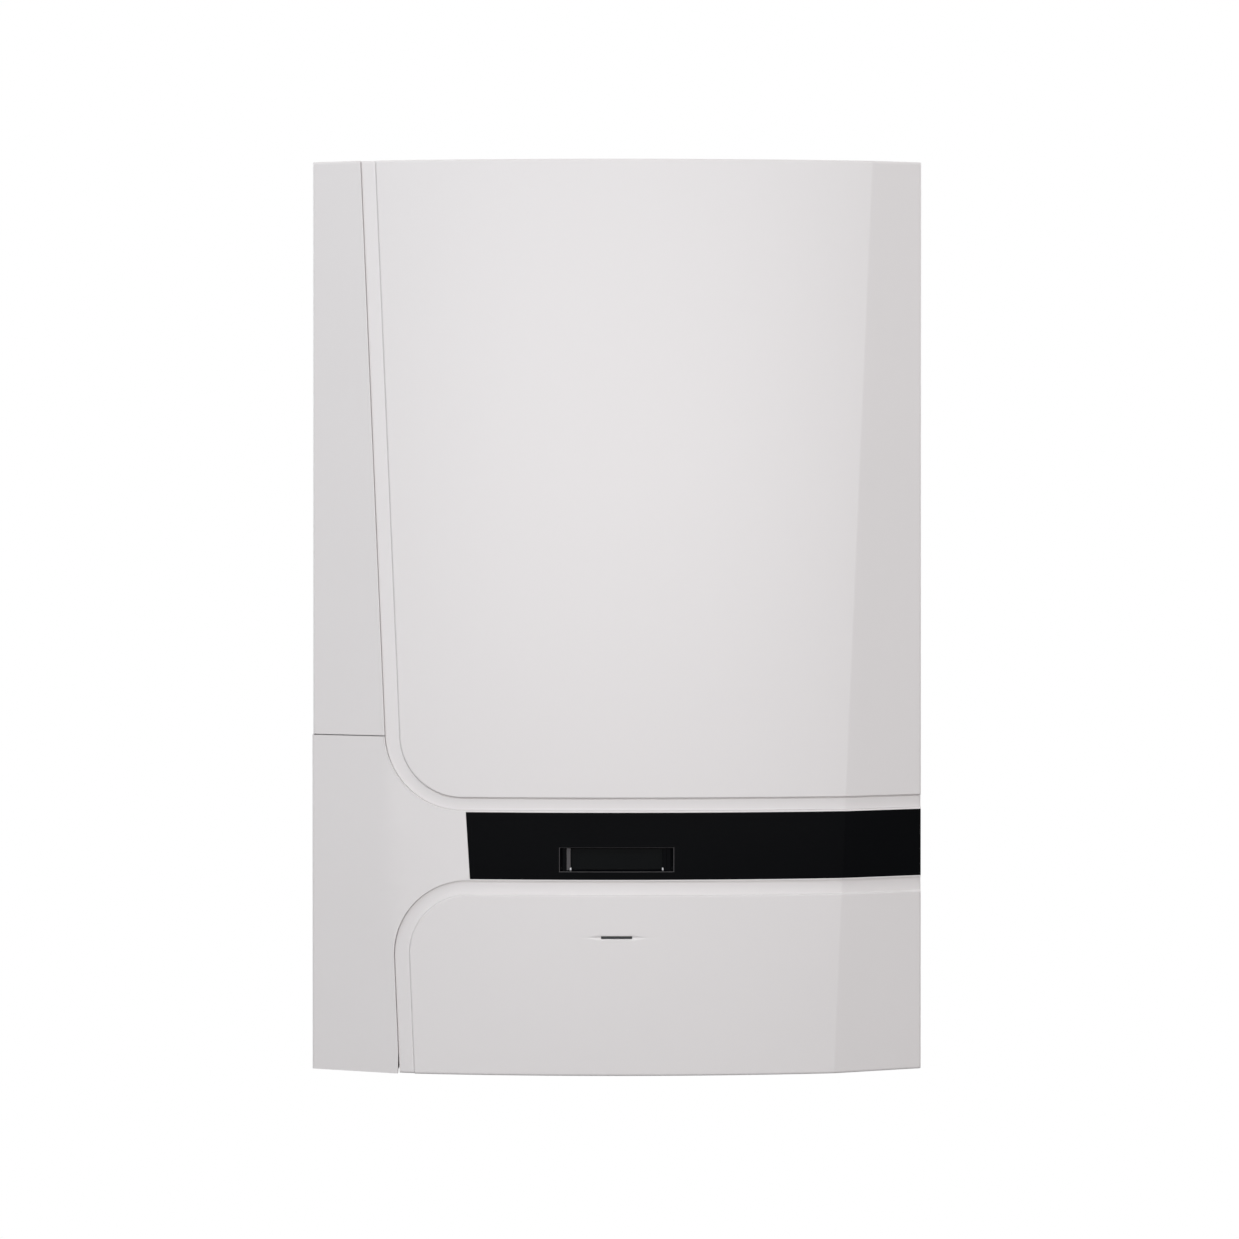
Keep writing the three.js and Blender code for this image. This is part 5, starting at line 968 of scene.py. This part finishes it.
def slantRect(u, v, wide, tall, degrees):
    # a rectangle turned about its middle, as a function of the inset
    c, s = math.cos(math.radians(degrees)), math.sin(math.radians(degrees))

    def shape(inset):
        half = np.array([[1, 1], [-1, 1], [-1, -1], [1, -1], [1, 1]]) * [wide / 2 - inset, tall / 2 - inset]
        return half @ np.array([[c, s], [-s, c]]) + [u, v]

    return shape


def band(u, v, inner, outer, low, high, start, end):
    # a rectangle carried round an arc: (u + r cos t, v + r sin t), its ends closed
    t = np.radians(spread(start, end, 24))[:, None]
    radius = np.array([inner, outer, outer, inner, inner])
    h = np.array([low, low, high, high, low])
    grid = inSpace(u + radius * np.cos(t), v + radius * np.sin(t), h, "z")
    middle = grid[:, :4].mean(1, keepdims=True) + 0 * grid
    return np.concatenate([middle[:1], grid, middle[-1:]])


softening = {"segments": 2, "fromAngle": 38, "sharpAngle": 34, "flatness": 80}


def softened(node, width):
    # a copy of a solid, its triangles merged and its edges rounded over
    mesh = frame["nodes"][node].data.copy()
    work = bmesh.new()
    work.from_mesh(mesh)
    bmesh.ops.remove_doubles(work, verts=work.verts, dist=1e-6)
    bmesh.ops.dissolve_limit(work, angle_limit=math.radians(0.3), verts=work.verts, edges=work.edges)
    work.to_mesh(mesh)
    work.free()
    piece = bpy.data.objects.new(camel(node), mesh)
    bpy.context.scene.collection.objects.link(piece)
    mesh.shade_smooth()
    mesh.set_sharp_from_angle(angle=math.radians(softening["sharpAngle"]))
    edge = piece.modifiers.new("edges", "BEVEL")
    edge.width, edge.segments = width * mm, softening["segments"]
    edge.limit_method, edge.angle_limit = "ANGLE", math.radians(softening["fromAngle"])
    even = piece.modifiers.new("normals", "WEIGHTED_NORMAL")  # keeps flat faces flat beside round edges
    even.keep_sharp, even.weight = True, softening["flatness"]
    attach(piece, bodyOf[node])
    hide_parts(node)
    dress(piece, slotLooks[slotOf[node]])


# the flap's hinge arms, pins and latches
def hingeArm(x):
    # in (y, z): two corners on the flap's inner face joined by a half circle round the pin
    face = bow(x, hinge["z"]) - caseDepth + front["skin"] - hinge["sunk"]
    low, high = hinge["armRoot"]

    def shape(inset):
        pin = arc((hinge["y"], hinge["z"]), hinge["armRadius"] - inset, -90, 90, 12)
        return np.concatenate([[[face, low + inset]], pin, [[face, high - inset], [face, low + inset]]])

    return shape


def hingeGrids():
    left, right, wide, reach = hinge["leftPin"], hinge["rightPin"], hinge["armWidth"], hinge["pinReach"]
    arms = ((left, left, left + wide), (right, right - wide, right))
    grids = [pad(hingeArm(x), low, high, 0.5, "x") for x, low, high in arms]
    for low, high in ((left - reach, left + 0.5), (right - 0.5, right + reach)):
        grids.append(disc(hinge["pinRadius"], low, high, hinge["y"], hinge["z"], "x", 0.4))
    for x in hinge["latchFrom"]:
        high = hinge["latchZ"]
        low, deep = (bow(x, high) - caseDepth + back for back in hinge["latchReach"])
        grids.append(block(x, x + hinge["latchWide"], low, deep, high - hinge["latchTall"], high, 0.6, 0.9))
    return grids


beside("flapHinges", hingeGrids(), "white_moulding", "flap_door")
print("flap hinges made")

# width of the rounded edge on each solid that keeps its shape
edges = {
    "wall_bracket": 0.35, "back_panel": 0.3, "side_panel_left": 0.35, "side_panel_right": 0.35,
    "top_panel": 0.3, "bottom_panel": 0.3, "cover_frame": 0.4, "cover_seal": 0.3, "light_guide": 0.25,
    "heat_exchanger": 1.4, "burner_hood": 1.4, "burner_tube": 0.8, "fan_housing": 0.8, "fan_impeller": 0.2,
    "intake_silencer": 1.2, "condensate_tray": 0.9, "vessel_bracket": 0.4, "flow_block": 1.2,
    "return_block": 1.2, "plate_exchanger": 0.35, "instrument_box": 0.8, "key_panel": 0.5,
    "power_switch": 0.7, "display_module": 0.6, "cover_screw_left": 0.3, "cover_screw_right": 0.3,
}
for node, width in edges.items():
    softened(node, width)
print("edges rounded:", len(edges), "solids")

# flue
flue = {
    "y": -105.0, "capReach": 61.0, "capAngles": (-45.0, -135.0), "screwAngles": (0.0, 180.0, 60.0, 120.0),
    "webReach": 41.5,  # middle of the webs between its two pipes
}
diagonals = (45, 135, 225, 315)


def onCircle(u, v, reach, degrees):
    t = math.radians(degrees)
    return u + reach * math.cos(t), v + reach * math.sin(t)


def atFlue(degrees, reach=flue["capReach"]):
    return onCircle(0, flue["y"], reach, degrees)


adapter = [
    turned([
        (50, 650), (52.5, 650), (52.5, 670.3), (70, 670.3), (70, 673.3), (54.5, 673.3), (52.5, 676),
        (52.5, 691), (51, 691), (50, 689),
    ], 0, flue["y"], soften=0.7, steps=96),
    turned([
        (30.3, 640), (32.8, 640), (34.8, 675), (34.8, 687), (30.8, 687), (30.3, 686.2), (30.3, 683),
        (32.1, 683), (32.1, 677), (30.3, 677),
    ], 0, flue["y"], soften=0.5, steps=80),
]
for degrees in diagonals:
    adapter.append(pad(slantRect(*atFlue(degrees, flue["webReach"]), 19, 2, degrees), 651, 665, 0.3))
capPlaces = [atFlue(degrees) for degrees in flue["capAngles"]]
adapter += [disc(6, 672, 678.3, x, y) for x, y in capPlaces]
stands("flue_adapter", adapter)
seal = [(30.1, 678), (31.8, 677.3), (31.8, 682.7), (30.1, 682), (28.9, 680)]
stands("flue_seal", [turned(seal, 0, flue["y"])])
stands("test_point_caps", [
    *(disc(7.5, 678.6, 683.3, x, y, soften=1.0, wave=(20, 0.7, 679.4, 682.4)) for x, y in capPlaces),
    band(0, flue["y"], 59, 63, 679.8, 681.3, *flue["capAngles"]),
])
stands("flue_pipe", [ring(28, 30, 294, 662, 0, flue["y"])])
beside("flueScrews", [grid for x, y in map(atFlue, flue["screwAngles"]) for grid in (
    disc(5.2, 673.2, 674.1, x, y, soften=0.3), hexNut(x, y, 673.8, 677.6, 4.0),
)], "zinc_steel")
print("flue made")

# burner, fan and air
hoodX, hoodTop = -45.0, 585.6
electrode = [
    (0, hoodTop), (9, hoodTop), (9, hoodTop + 3), (4.5, hoodTop + 3), (4.5, hoodTop + 6), (3.6, hoodTop + 7),
    (4.5, hoodTop + 8), (3.6, hoodTop + 10), (4.5, hoodTop + 12), (3.6, hoodTop + 14), (4.5, hoodTop + 16),
    (4.5, hoodTop + 19), (2.2, hoodTop + 20), (2.2, hoodTop + 23), (1.5, hoodTop + 24), (0, hoodTop + 24),
]
stands("ignition_electrode", [turned(electrode, hoodX, -255)])
fan = {"z": 455.0, "ribs": (16, 1.2, 398, 419)}  # ribs: (count, height, from, to)
motor = [(0, 372.5), (3, 372.5), (3, 395.3), (38, 395.3), (38, 421), (32, 427), (0, 427)]
stands("fan_motor", [
    turned(motor, 0, fan["z"], "y", 1.6, 96, fan["ribs"]),
    pad(roundedRect(0, 415.5, 24, 13, 1.5), 401, 421, 1.0, "y"),
])
beside("fanBadge", [
    ring(12, 14.5, 426.4, 427.3, 0, fan["z"], "y"), disc(5, 426.4, 427.4, 0, fan["z"], "y", 0.4),
], "grey_plastic")
stands("venturi", [
    turned([(23, 298), (27, 298), (27, 344.7), (26, 344.7), (23, 338)], 0, fan["z"], "y", 1.0),
    ring(15, 18, 24.5, 121.7, -320, fan["z"], "x", 0.8),
    ring(18, 20, 112, 118, -320, fan["z"], "x", 0.6),
    disc(8, 431.3, 441, 62, -320, soften=1.0),
])
screwPlaces = ((-62, 455), (-31, 401), (31, 399), (66, 418), (-34, 508))
beside("fanScrews", [hexNut(x, z, 394.8, 397.8, 4.2, "y") for x, z in screwPlaces], "zinc_steel")
gasAt = (186, -300)
stands("gas_valve", [
    block(158, 212, -328, -272, 338, 408, 2.0, 4.0),
    pad(roundedRect(185, 366, 46, 44, 4), 326, 330, 1.0, "y"),
    disc(14, 330, 341, *gasAt, soften=1.0), hexNut(*gasAt, 330.2, 337, 14.0),
    disc(9, 150.3, 160, -320, 375, "x", 0.8), pad(polygon(-320, 375, 9.2, 6), 150.6, 156.5, 0.7, "x"),
    tube([(151, -320, 375), (62, -320, 375), (62, -320, 430.7)], 5, 14),
])
coil = [(0, 329.5), (11, 329.5), (11, 344), (9.5, 346), (0, 346)]
beside("gasCoils", [
    *(turned(coil, x, 388, "y", 1.0, 56, (24, 0.4, 331, 342)) for x in (172, 198)),
    pad(roundedRect(185, 352, 20, 8, 1.5), 329.5, 337, 0.8, "y"),
], "dark_plastic")
print("fan and gas made")

# pipes
railY = -125  # the line of the unions under the casing
ventAt, outletAt, flowAt = (108, -192), (147, -192), (-115, -130)  # upright axes that pieces share
siphonAt, reliefAt = (-60, -250), (181, railY)
steelAndCopper = {
    # node: (radius, radius of the bends, corners)
    "gas_pipe": (9, 19, [(0, railY, 30), (0, railY, 50), (0, -300, 50), (*gasAt, 50), (*gasAt, 329.7)]),
    "flow_pipe": (11, 13, [
        (-90.3, -220, 520), (-115, -220, 520), (-115, -220, 195), (*flowAt, 195), (*flowAt, 150.3),
    ]),
    "return_pipe": (11, 20, [(*outletAt, 166.3), (*outletAt, 352), (110.3, -192, 352)]),
    "hot_water_pipe": (7.5, 14, [(-65, railY, 30), (-65, railY, 74), (-99.7, railY, 74)]),
    "cold_water_pipe": (7.5, 14, [(65, railY, 30), (65, railY, 74), (99.7, railY, 74)]),
}
for node, (radius, bend, route) in steelAndCopper.items():
    stands(node, [tube(route, radius - 0.05, bend, 32)])
stands("vessel_hose", [tube([
    (-175, -185, 320.7), (-175, -185, 290), (-175, -42, 290), (-175, -42, 120), (130, -42, 120),
    (130, -89.7, 120),
], 4.6, 18, 20, (0.35, 3.2))])
beside("pipeNuts", [
    hexNut(0, railY, 30.2, 41, 13.5), hexNut(*gasAt, 317, 329.8, 14.0),
    hexNut(*flowAt, 150.2, 161, 15.5), hexNut(*outletAt, 166.2, 178, 16.0),
    hexNut(-65, railY, 30.2, 39, 11.0), hexNut(65, railY, 30.2, 39, 11.0),
    hexNut(-220, 520, -103, -90.4, 15.5, "x"), hexNut(-192, 352, 110.4, 123, 15.5, "x"),
    hexNut(-175, -185, 309, 320.6, 8.0), hexNut(130, 120, 78.5, 89.6, 8.0, "y"),
], "brass")
print("pipes made")

# expansion vessel
vessel = {"x": -175.0, "y": -185.0, "z": 480.0, "half": 42.0, "radius": 145.0, "power": 3.0}
# |h / half|^p + (r / radius)^p = 1
share = np.sin(quarterTurn(24))
reach = (1 - share ** vessel["power"]) ** (1 / vessel["power"])
dome = np.stack([vessel["radius"] * share, vessel["half"] * reach], -1)
dome = dome[dome[:, 1] > 6.5]
crimp = rounded([(144.6, 6.3), (150, 4.6), (150, -4.6), (144.6, -6.3)], 2.0, 5)
shell = np.concatenate([dome, crimp, dome[::-1] * [1, -1]]) + [0, vessel["x"]]
stands("expansion_vessel", [
    lathe(shell, vessel["y"], vessel["z"], "x", 120),
    disc(7, 321, 340, vessel["x"], vessel["y"], soften=0.8),
    hexNut(vessel["x"], vessel["y"], 323.5, 330, 9.5),
])
fillValve = [(0, -135), (10, -135), (10, -132.2), (5, -131.6), (5, -127.5), (4.2, -126.8), (0, -126.8)]
beside("vesselFillValve", [turned(fillValve, vessel["y"], vessel["z"], "x")], "dark_plastic")

# water group
group = {"x": 130.0, "z": 106.0}
stands("diverter_actuator", [
    disc(15, 170.3, 192, -group["x"], group["z"], "y", 0.8, wave=(28, 0.7, 173, 187)),
    pad(roundedRect(-group["x"], group["z"], 52, 60, 6), 190, 230, 2.2, "y"),
    pad(roundedRect(-group["x"], group["z"] + 14, 30, 14, 3), 228.5, 232, 1.0, "y"),
    pad(roundedRect(-group["x"], group["z"] - 18, 22, 10, 1.5), 228.5, 232, 0.8, "y"),
])
volute = [(0, 170.3), (24, 170.3), (24, 180), (44, 188), (44, 216), (0, 216)]
stands("pump_housing", [
    turned(volute, group["x"], group["z"], "y", 4.0, 96),
    turned([(0, 116), (15, 116), (15, 166), (0, 166)], *outletAt, "z", 1.4),
    turned([(0, 126), (10, 126), (10, 160), (0, 160)], *ventAt, "z", 1.4),
])
motor = [(0, 216.3), (40, 216.3), (40, 224), (35, 226), (35, 274), (31, 278), (0, 278)]
stands("pump_motor", [
    turned(motor, group["x"], group["z"], "y", 1.6, 96, (28, 1.1, 229, 270)),
    block(group["x"] - 24, group["x"] + 24, -270, -226, 134, 154, 1.6, 4.0),
    pad(roundedRect(group["x"], 144, 36, 13, 3), 269, 272.5, 1.0, "y"),
])
screwPlaces = [onCircle(group["x"], group["z"], 36.5, degrees) for degrees in diagonals]
beside("pumpScrews", [
    *(disc(4.6, 223.6, 228.5, x, z, "y", 0.6) for x, z in screwPlaces),
    disc(9, 277, 278.4, group["x"], group["z"], "y", 0.4),
], "stainless")
vent = [(0, 160.3), (9, 160.3), (9, 168), (13, 170), (13, 196), (6, 200), (6, 208), (0, 208)]
stands("air_vent", [
    turned(vent, *ventAt, "z", 0.9, 56, (24, 0.5, 172, 194)), hexNut(*ventAt, 161, 167, 10.4),
])
stands("siphon", [
    turned([
        (7.5, -25), (10, -25), (10, 66), (24, 72), (26, 74), (26, 90), (23, 92), (23, 189.7), (15, 199.7),
        (15, 263.7), (10, 263.7), (10, 195.7), (19, 185.7), (19, 80), (7.5, 72),
    ], *siphonAt, "z", 1.6, 72, (24, 0.9, 74.5, 89.5)),
    ring(15, 17, 250, 254, *siphonAt),
])
print("water group made")

# connections under the casing
unionGrids = [block(-156, 156, railY - 18, railY + 18, 6.9, 9.4, 0.5, 4.0)]
for x, bore in ((-130, 9), (-65, 6.5), (0, 6.5), (65, 6.5), (130, 9)):
    unionGrids += [
        turned(threaded(bore, bore + 2.5, -30, -12, 29.7), x, railY, "z", 0.35, 48),
        hexNut(x, railY, 10, 26, 13.0), ring(bore + 1.5, bore + 4.6, 1.0, 4.6, x, railY),
    ]
stands("connection_rail", unionGrids)
stands("relief_valve", [
    turned([
        (0, 80), (5.5, 80), (5.5, -20), (7.5, -20), (7.5, 90), (13, 94), (13, 134), (10, 138), (10, 144),
        (0, 144),
    ], *reliefAt, "z", 0.8, 56),
    turned([(0, 160.4), (9, 160.4), (9, 181), (0, 181)], railY, 112, "x", 0.8),
    pad(polygon(railY, 112, 10.6, 6), 161.5, 168.5, 0.8, "x"), hexNut(*reliefAt, 96, 104, 14.6),
])
knob = {"radius": 14, "lobes": 8, "lobeTall": 1.2}


def lobed(inset):
    # r = radius + lobeTall cos(lobes t), less the inset
    t = spread(0, 2 * math.pi, 96)
    reach = knob["radius"] + knob["lobeTall"] * np.cos(knob["lobes"] * t) - inset
    return np.stack([reach * np.cos(t), reach * np.sin(t)], -1) + reliefAt


stands("relief_knob", [pad(lobed, 144.3, 159.6, 2.2), ring(6, 8, 159.2, 160.3, *reliefAt)])
glandGrids = [block(-208, -128, -302, -278, 6.9, 8.9, 0.4, 3.0)]
gland = [(3.5, -6.6), (6, -6.6), (8, -1.6), (8, 12.6), (3.5, 12.6)]
for x in (-196, -168, -140):
    glandGrids += [
        turned(gland, x, -290, "z", 0.8, 48, (16, 0.6, -3, 4.6)),
        hexNut(x, -290, 0.6, 5.2, 9.0),
    ]
stands("cable_glands", glandGrids)
print("connections made")

# controls behind the flap
keys = {
    "height": 112.0,
    "places": {"escape": -65.0, "minus": -35.0, "plus": -5.0, "enter": 25.0},
    "face": 417.2,  # front of the raised marks, from the wall
    "markTall": 0.25,
    "markFoot": 416.4,
    "collar": (410.5, 412.0),
}


def keyMark(name, x, z):
    # raised generic marks: a cross, a bar, two bars and a ring
    low, high = keys["markFoot"], keys["face"]
    if name == "enter":
        return [ring(1.5, 2.4, low, high, x, z, "y", 0.12, 40)]
    turns = {"escape": (45, 135), "minus": (0,), "plus": (0, 90)}[name]
    return [pad(slantRect(x, z, 5.0, 0.9, degrees), low, high, 0.12, "y") for degrees in turns]


for name, x in keys["places"].items():
    z = keys["height"]
    cap = pad(roundedRect(x, z, 18, 10, 2), 411.5, keys["face"] - keys["markTall"], 0.9, "y")
    collar = pad(roundedRect(x, z, 22, 14, 1.5), *keys["collar"], 0.2, "y")
    stands("key_" + name, [cap, collar, *keyMark(name, x, z)])
board = {"back": 362.3, "front": 363.9, "sunk": 0.2}  # depths from the wall; its parts start inside its face
stands("control_board", [pad(roundedRect(0, 149, 290, 146, 1.5), board["back"], board["front"], 0.2, "y")])
foot = board["front"] - board["sunk"]
connectors = [block(x - 9, x + 9, -378.3, -foot, 183, 197, 0.5, 0.8) for x in (-110, -80, -50, -20)]
transformer = block(84, 128, -396.3, -foot, 160, 200, 1.2, 1.5)
chip = block(-40, -18, -366.6, -foot, 128, 150, 0.3, 0.5)
beside("boardParts", [*connectors, transformer, chip], "dark_plastic")
beside("boardTerminals", [
    block(x, x + 17, -377.6, -foot, 78, 92, 0.6, 0.8) for x in range(-130, 43, 19)
], "light_plastic")
cans = ((20, 188, 8, 22), (42, 188, 8, 22), (66, 190, 5, 14), (10, 140, 4, 10), (24, 140, 4, 10))
beside("boardCans", [
    disc(radius, foot, foot + tall, x, z, "y", 0.8, 64) for x, z, radius, tall in cans
], "stainless")
print("controls made")

# studio
studio = {
    "floorTone": 0.26,
    "floorSize": 6.0,  # metres each way
    "floorDrop": 0.031,
    "skyColour": (0.452, 0.425, 0.41),
    "frameWide": 916.4,  # millimetres across the picture at the front's edge plane
    "pictureSize": 1239,
    "sensorWide": 36.0,
    "eyeX": 2.1,  # the picture's middle column is this far right of the boiler's middle
    "eyeHeight": 428.0,
    "eyeDistance": 2530.0,  # from the front's edge plane
    "edgePlane": 417.0,
    "horizonRow": 490.0,
    "aimAt": (0, -0.45, -0.25),
}
lamps = {
    # name: (place, width, height, power, colour)
    "upperLeft": ((-1.6, -2.6, 1.5), 2.0, 2.0, 9.2, (0.8, 1.02, 1.18)),
    "frontNear": ((-0.1, -3.0, 0.9), 2.4, 0.7, 8.8, (0.9, 1.01, 1.08)),
    "frontMiddle": ((0.0, -3.0, -0.1), 2.2, 0.6, 18.5, (0.99, 1.0, 1.02)),
    "overhead": ((-0.3, -1.3, 2.1), 1.2, 0.8, 9.0, (1.0, 1.0, 1.0)),
    "behindCamera": ((0.0, -3.4, -0.1), 2.0, 1.0, 7.0, (1.12, 0.98, 0.9)),
    # these two stand behind the front's plane
    "rightSide": ((3.0, 1.0, 0.5), 1.6, 1.6, 26.0, (0.97, 1.0, 1.03)),
    "leftSide": ((-3.0, 1.0, 0.5), 1.6, 1.6, 26.0, (0.97, 1.0, 1.03)),
}


def lamp(name, place, wide, tall, power, colour):
    light = bpy.data.lights.new(name, "AREA")
    light.shape, light.size, light.size_y = "RECTANGLE", wide, tall
    light.energy, light.color = power, colour
    made = bpy.data.objects.new(name, light)
    bpy.context.scene.collection.objects.link(made)
    made.location = place
    made.rotation_euler = (Vector(studio["aimAt"]) - Vector(place)).to_track_quat("-Z", "Y").to_euler()


for name, settings in lamps.items():
    lamp(name, *settings)

floorMesh = bpy.data.meshes.new("studioFloor")
square = np.array([[-1, -1, 0], [1, -1, 0], [1, 1, 0], [-1, 1, 0]]) * studio["floorSize"]
floorMesh.from_pydata((square + [0, 0, casingFloor - studio["floorDrop"]]).tolist(), [], [(0, 1, 2, 3)])
floor = bpy.data.objects.new("studioFloor", floorMesh)
bpy.context.scene.collection.objects.link(floor)
floorFinish = bpy.data.materials.new("floorFinish")
floorFinish.use_nodes = True
tree, tone = floorFinish.node_tree, studio["floorTone"]
shader = setInputs(tree.nodes["Principled BSDF"], {"Base Color": (tone, tone, tone, 1), "Roughness": 0.9})
glow = addNode(tree, "Emission", {"Color": (1, 1, 1, 1)})
rays, side, clear = addNode(tree, "LightPath"), addNode(tree, "NewGeometry"), addNode(tree, "BsdfTransparent")
above, below = addNode(tree, "MixShader"), addNode(tree, "MixShader")  # from underneath the floor is clear
wire(tree, [
    (rays, "Is Camera Ray", above, "Fac"), (shader, "BSDF", above, 1), (glow, "Emission", above, 2),
    (side, "Backfacing", below, "Fac"), (above, "Shader", below, 1), (clear, "BSDF", below, 2),
    (below, "Shader", tree.nodes["Material Output"], "Surface"),
])
floor.data.materials.append(floorFinish)

# white to the camera, to mirrors and through glass, and the sky's own colour to everything else
world = bpy.data.worlds.new("studioSky")
world.use_nodes = True
bpy.context.scene.world = world
tree = world.node_tree
sky = setInputs(tree.nodes["Background"], {"Color": (*studio["skyColour"], 1), "Strength": 1.0})
white = addNode(tree, "Background", {"Color": (1, 1, 1, 1)})
rays, pick = addNode(tree, "LightPath"), addNode(tree, "MixShader")
seen, mirrored = addNode(tree, "Math"), addNode(tree, "Math")
seen.operation = mirrored.operation = "MAXIMUM"
wire(tree, [
    (rays, "Is Camera Ray", seen, 0), (rays, "Is Transmission Ray", seen, 1), (seen, "Value", mirrored, 0),
    (rays, "Is Glossy Ray", mirrored, 1), (mirrored, "Value", pick, "Fac"), (sky, "Background", pick, 1),
    (white, "Background", pick, 2), (pick, "Shader", tree.nodes["World Output"], "Surface"),
])

lens = bpy.data.cameras.new("camera")
lens.sensor_width = studio["sensorWide"]
lens.sensor_fit = "HORIZONTAL"
lens.lens = studio["sensorWide"] * studio["eyeDistance"] / studio["frameWide"]
lens.shift_y = (studio["horizonRow"] - studio["pictureSize"] / 2) / studio["pictureSize"]
lens.clip_end = 50
camera = bpy.data.objects.new("camera", lens)
bpy.context.scene.collection.objects.link(camera)
eyeY = -(studio["edgePlane"] + studio["eyeDistance"]) * mm
camera.location = (studio["eyeX"] * mm, eyeY, casingFloor + studio["eyeHeight"] * mm)
camera.rotation_euler = (math.pi / 2, 0, 0)
bpy.context.scene.camera = camera
bpy.context.scene.view_settings.view_transform = "Standard"
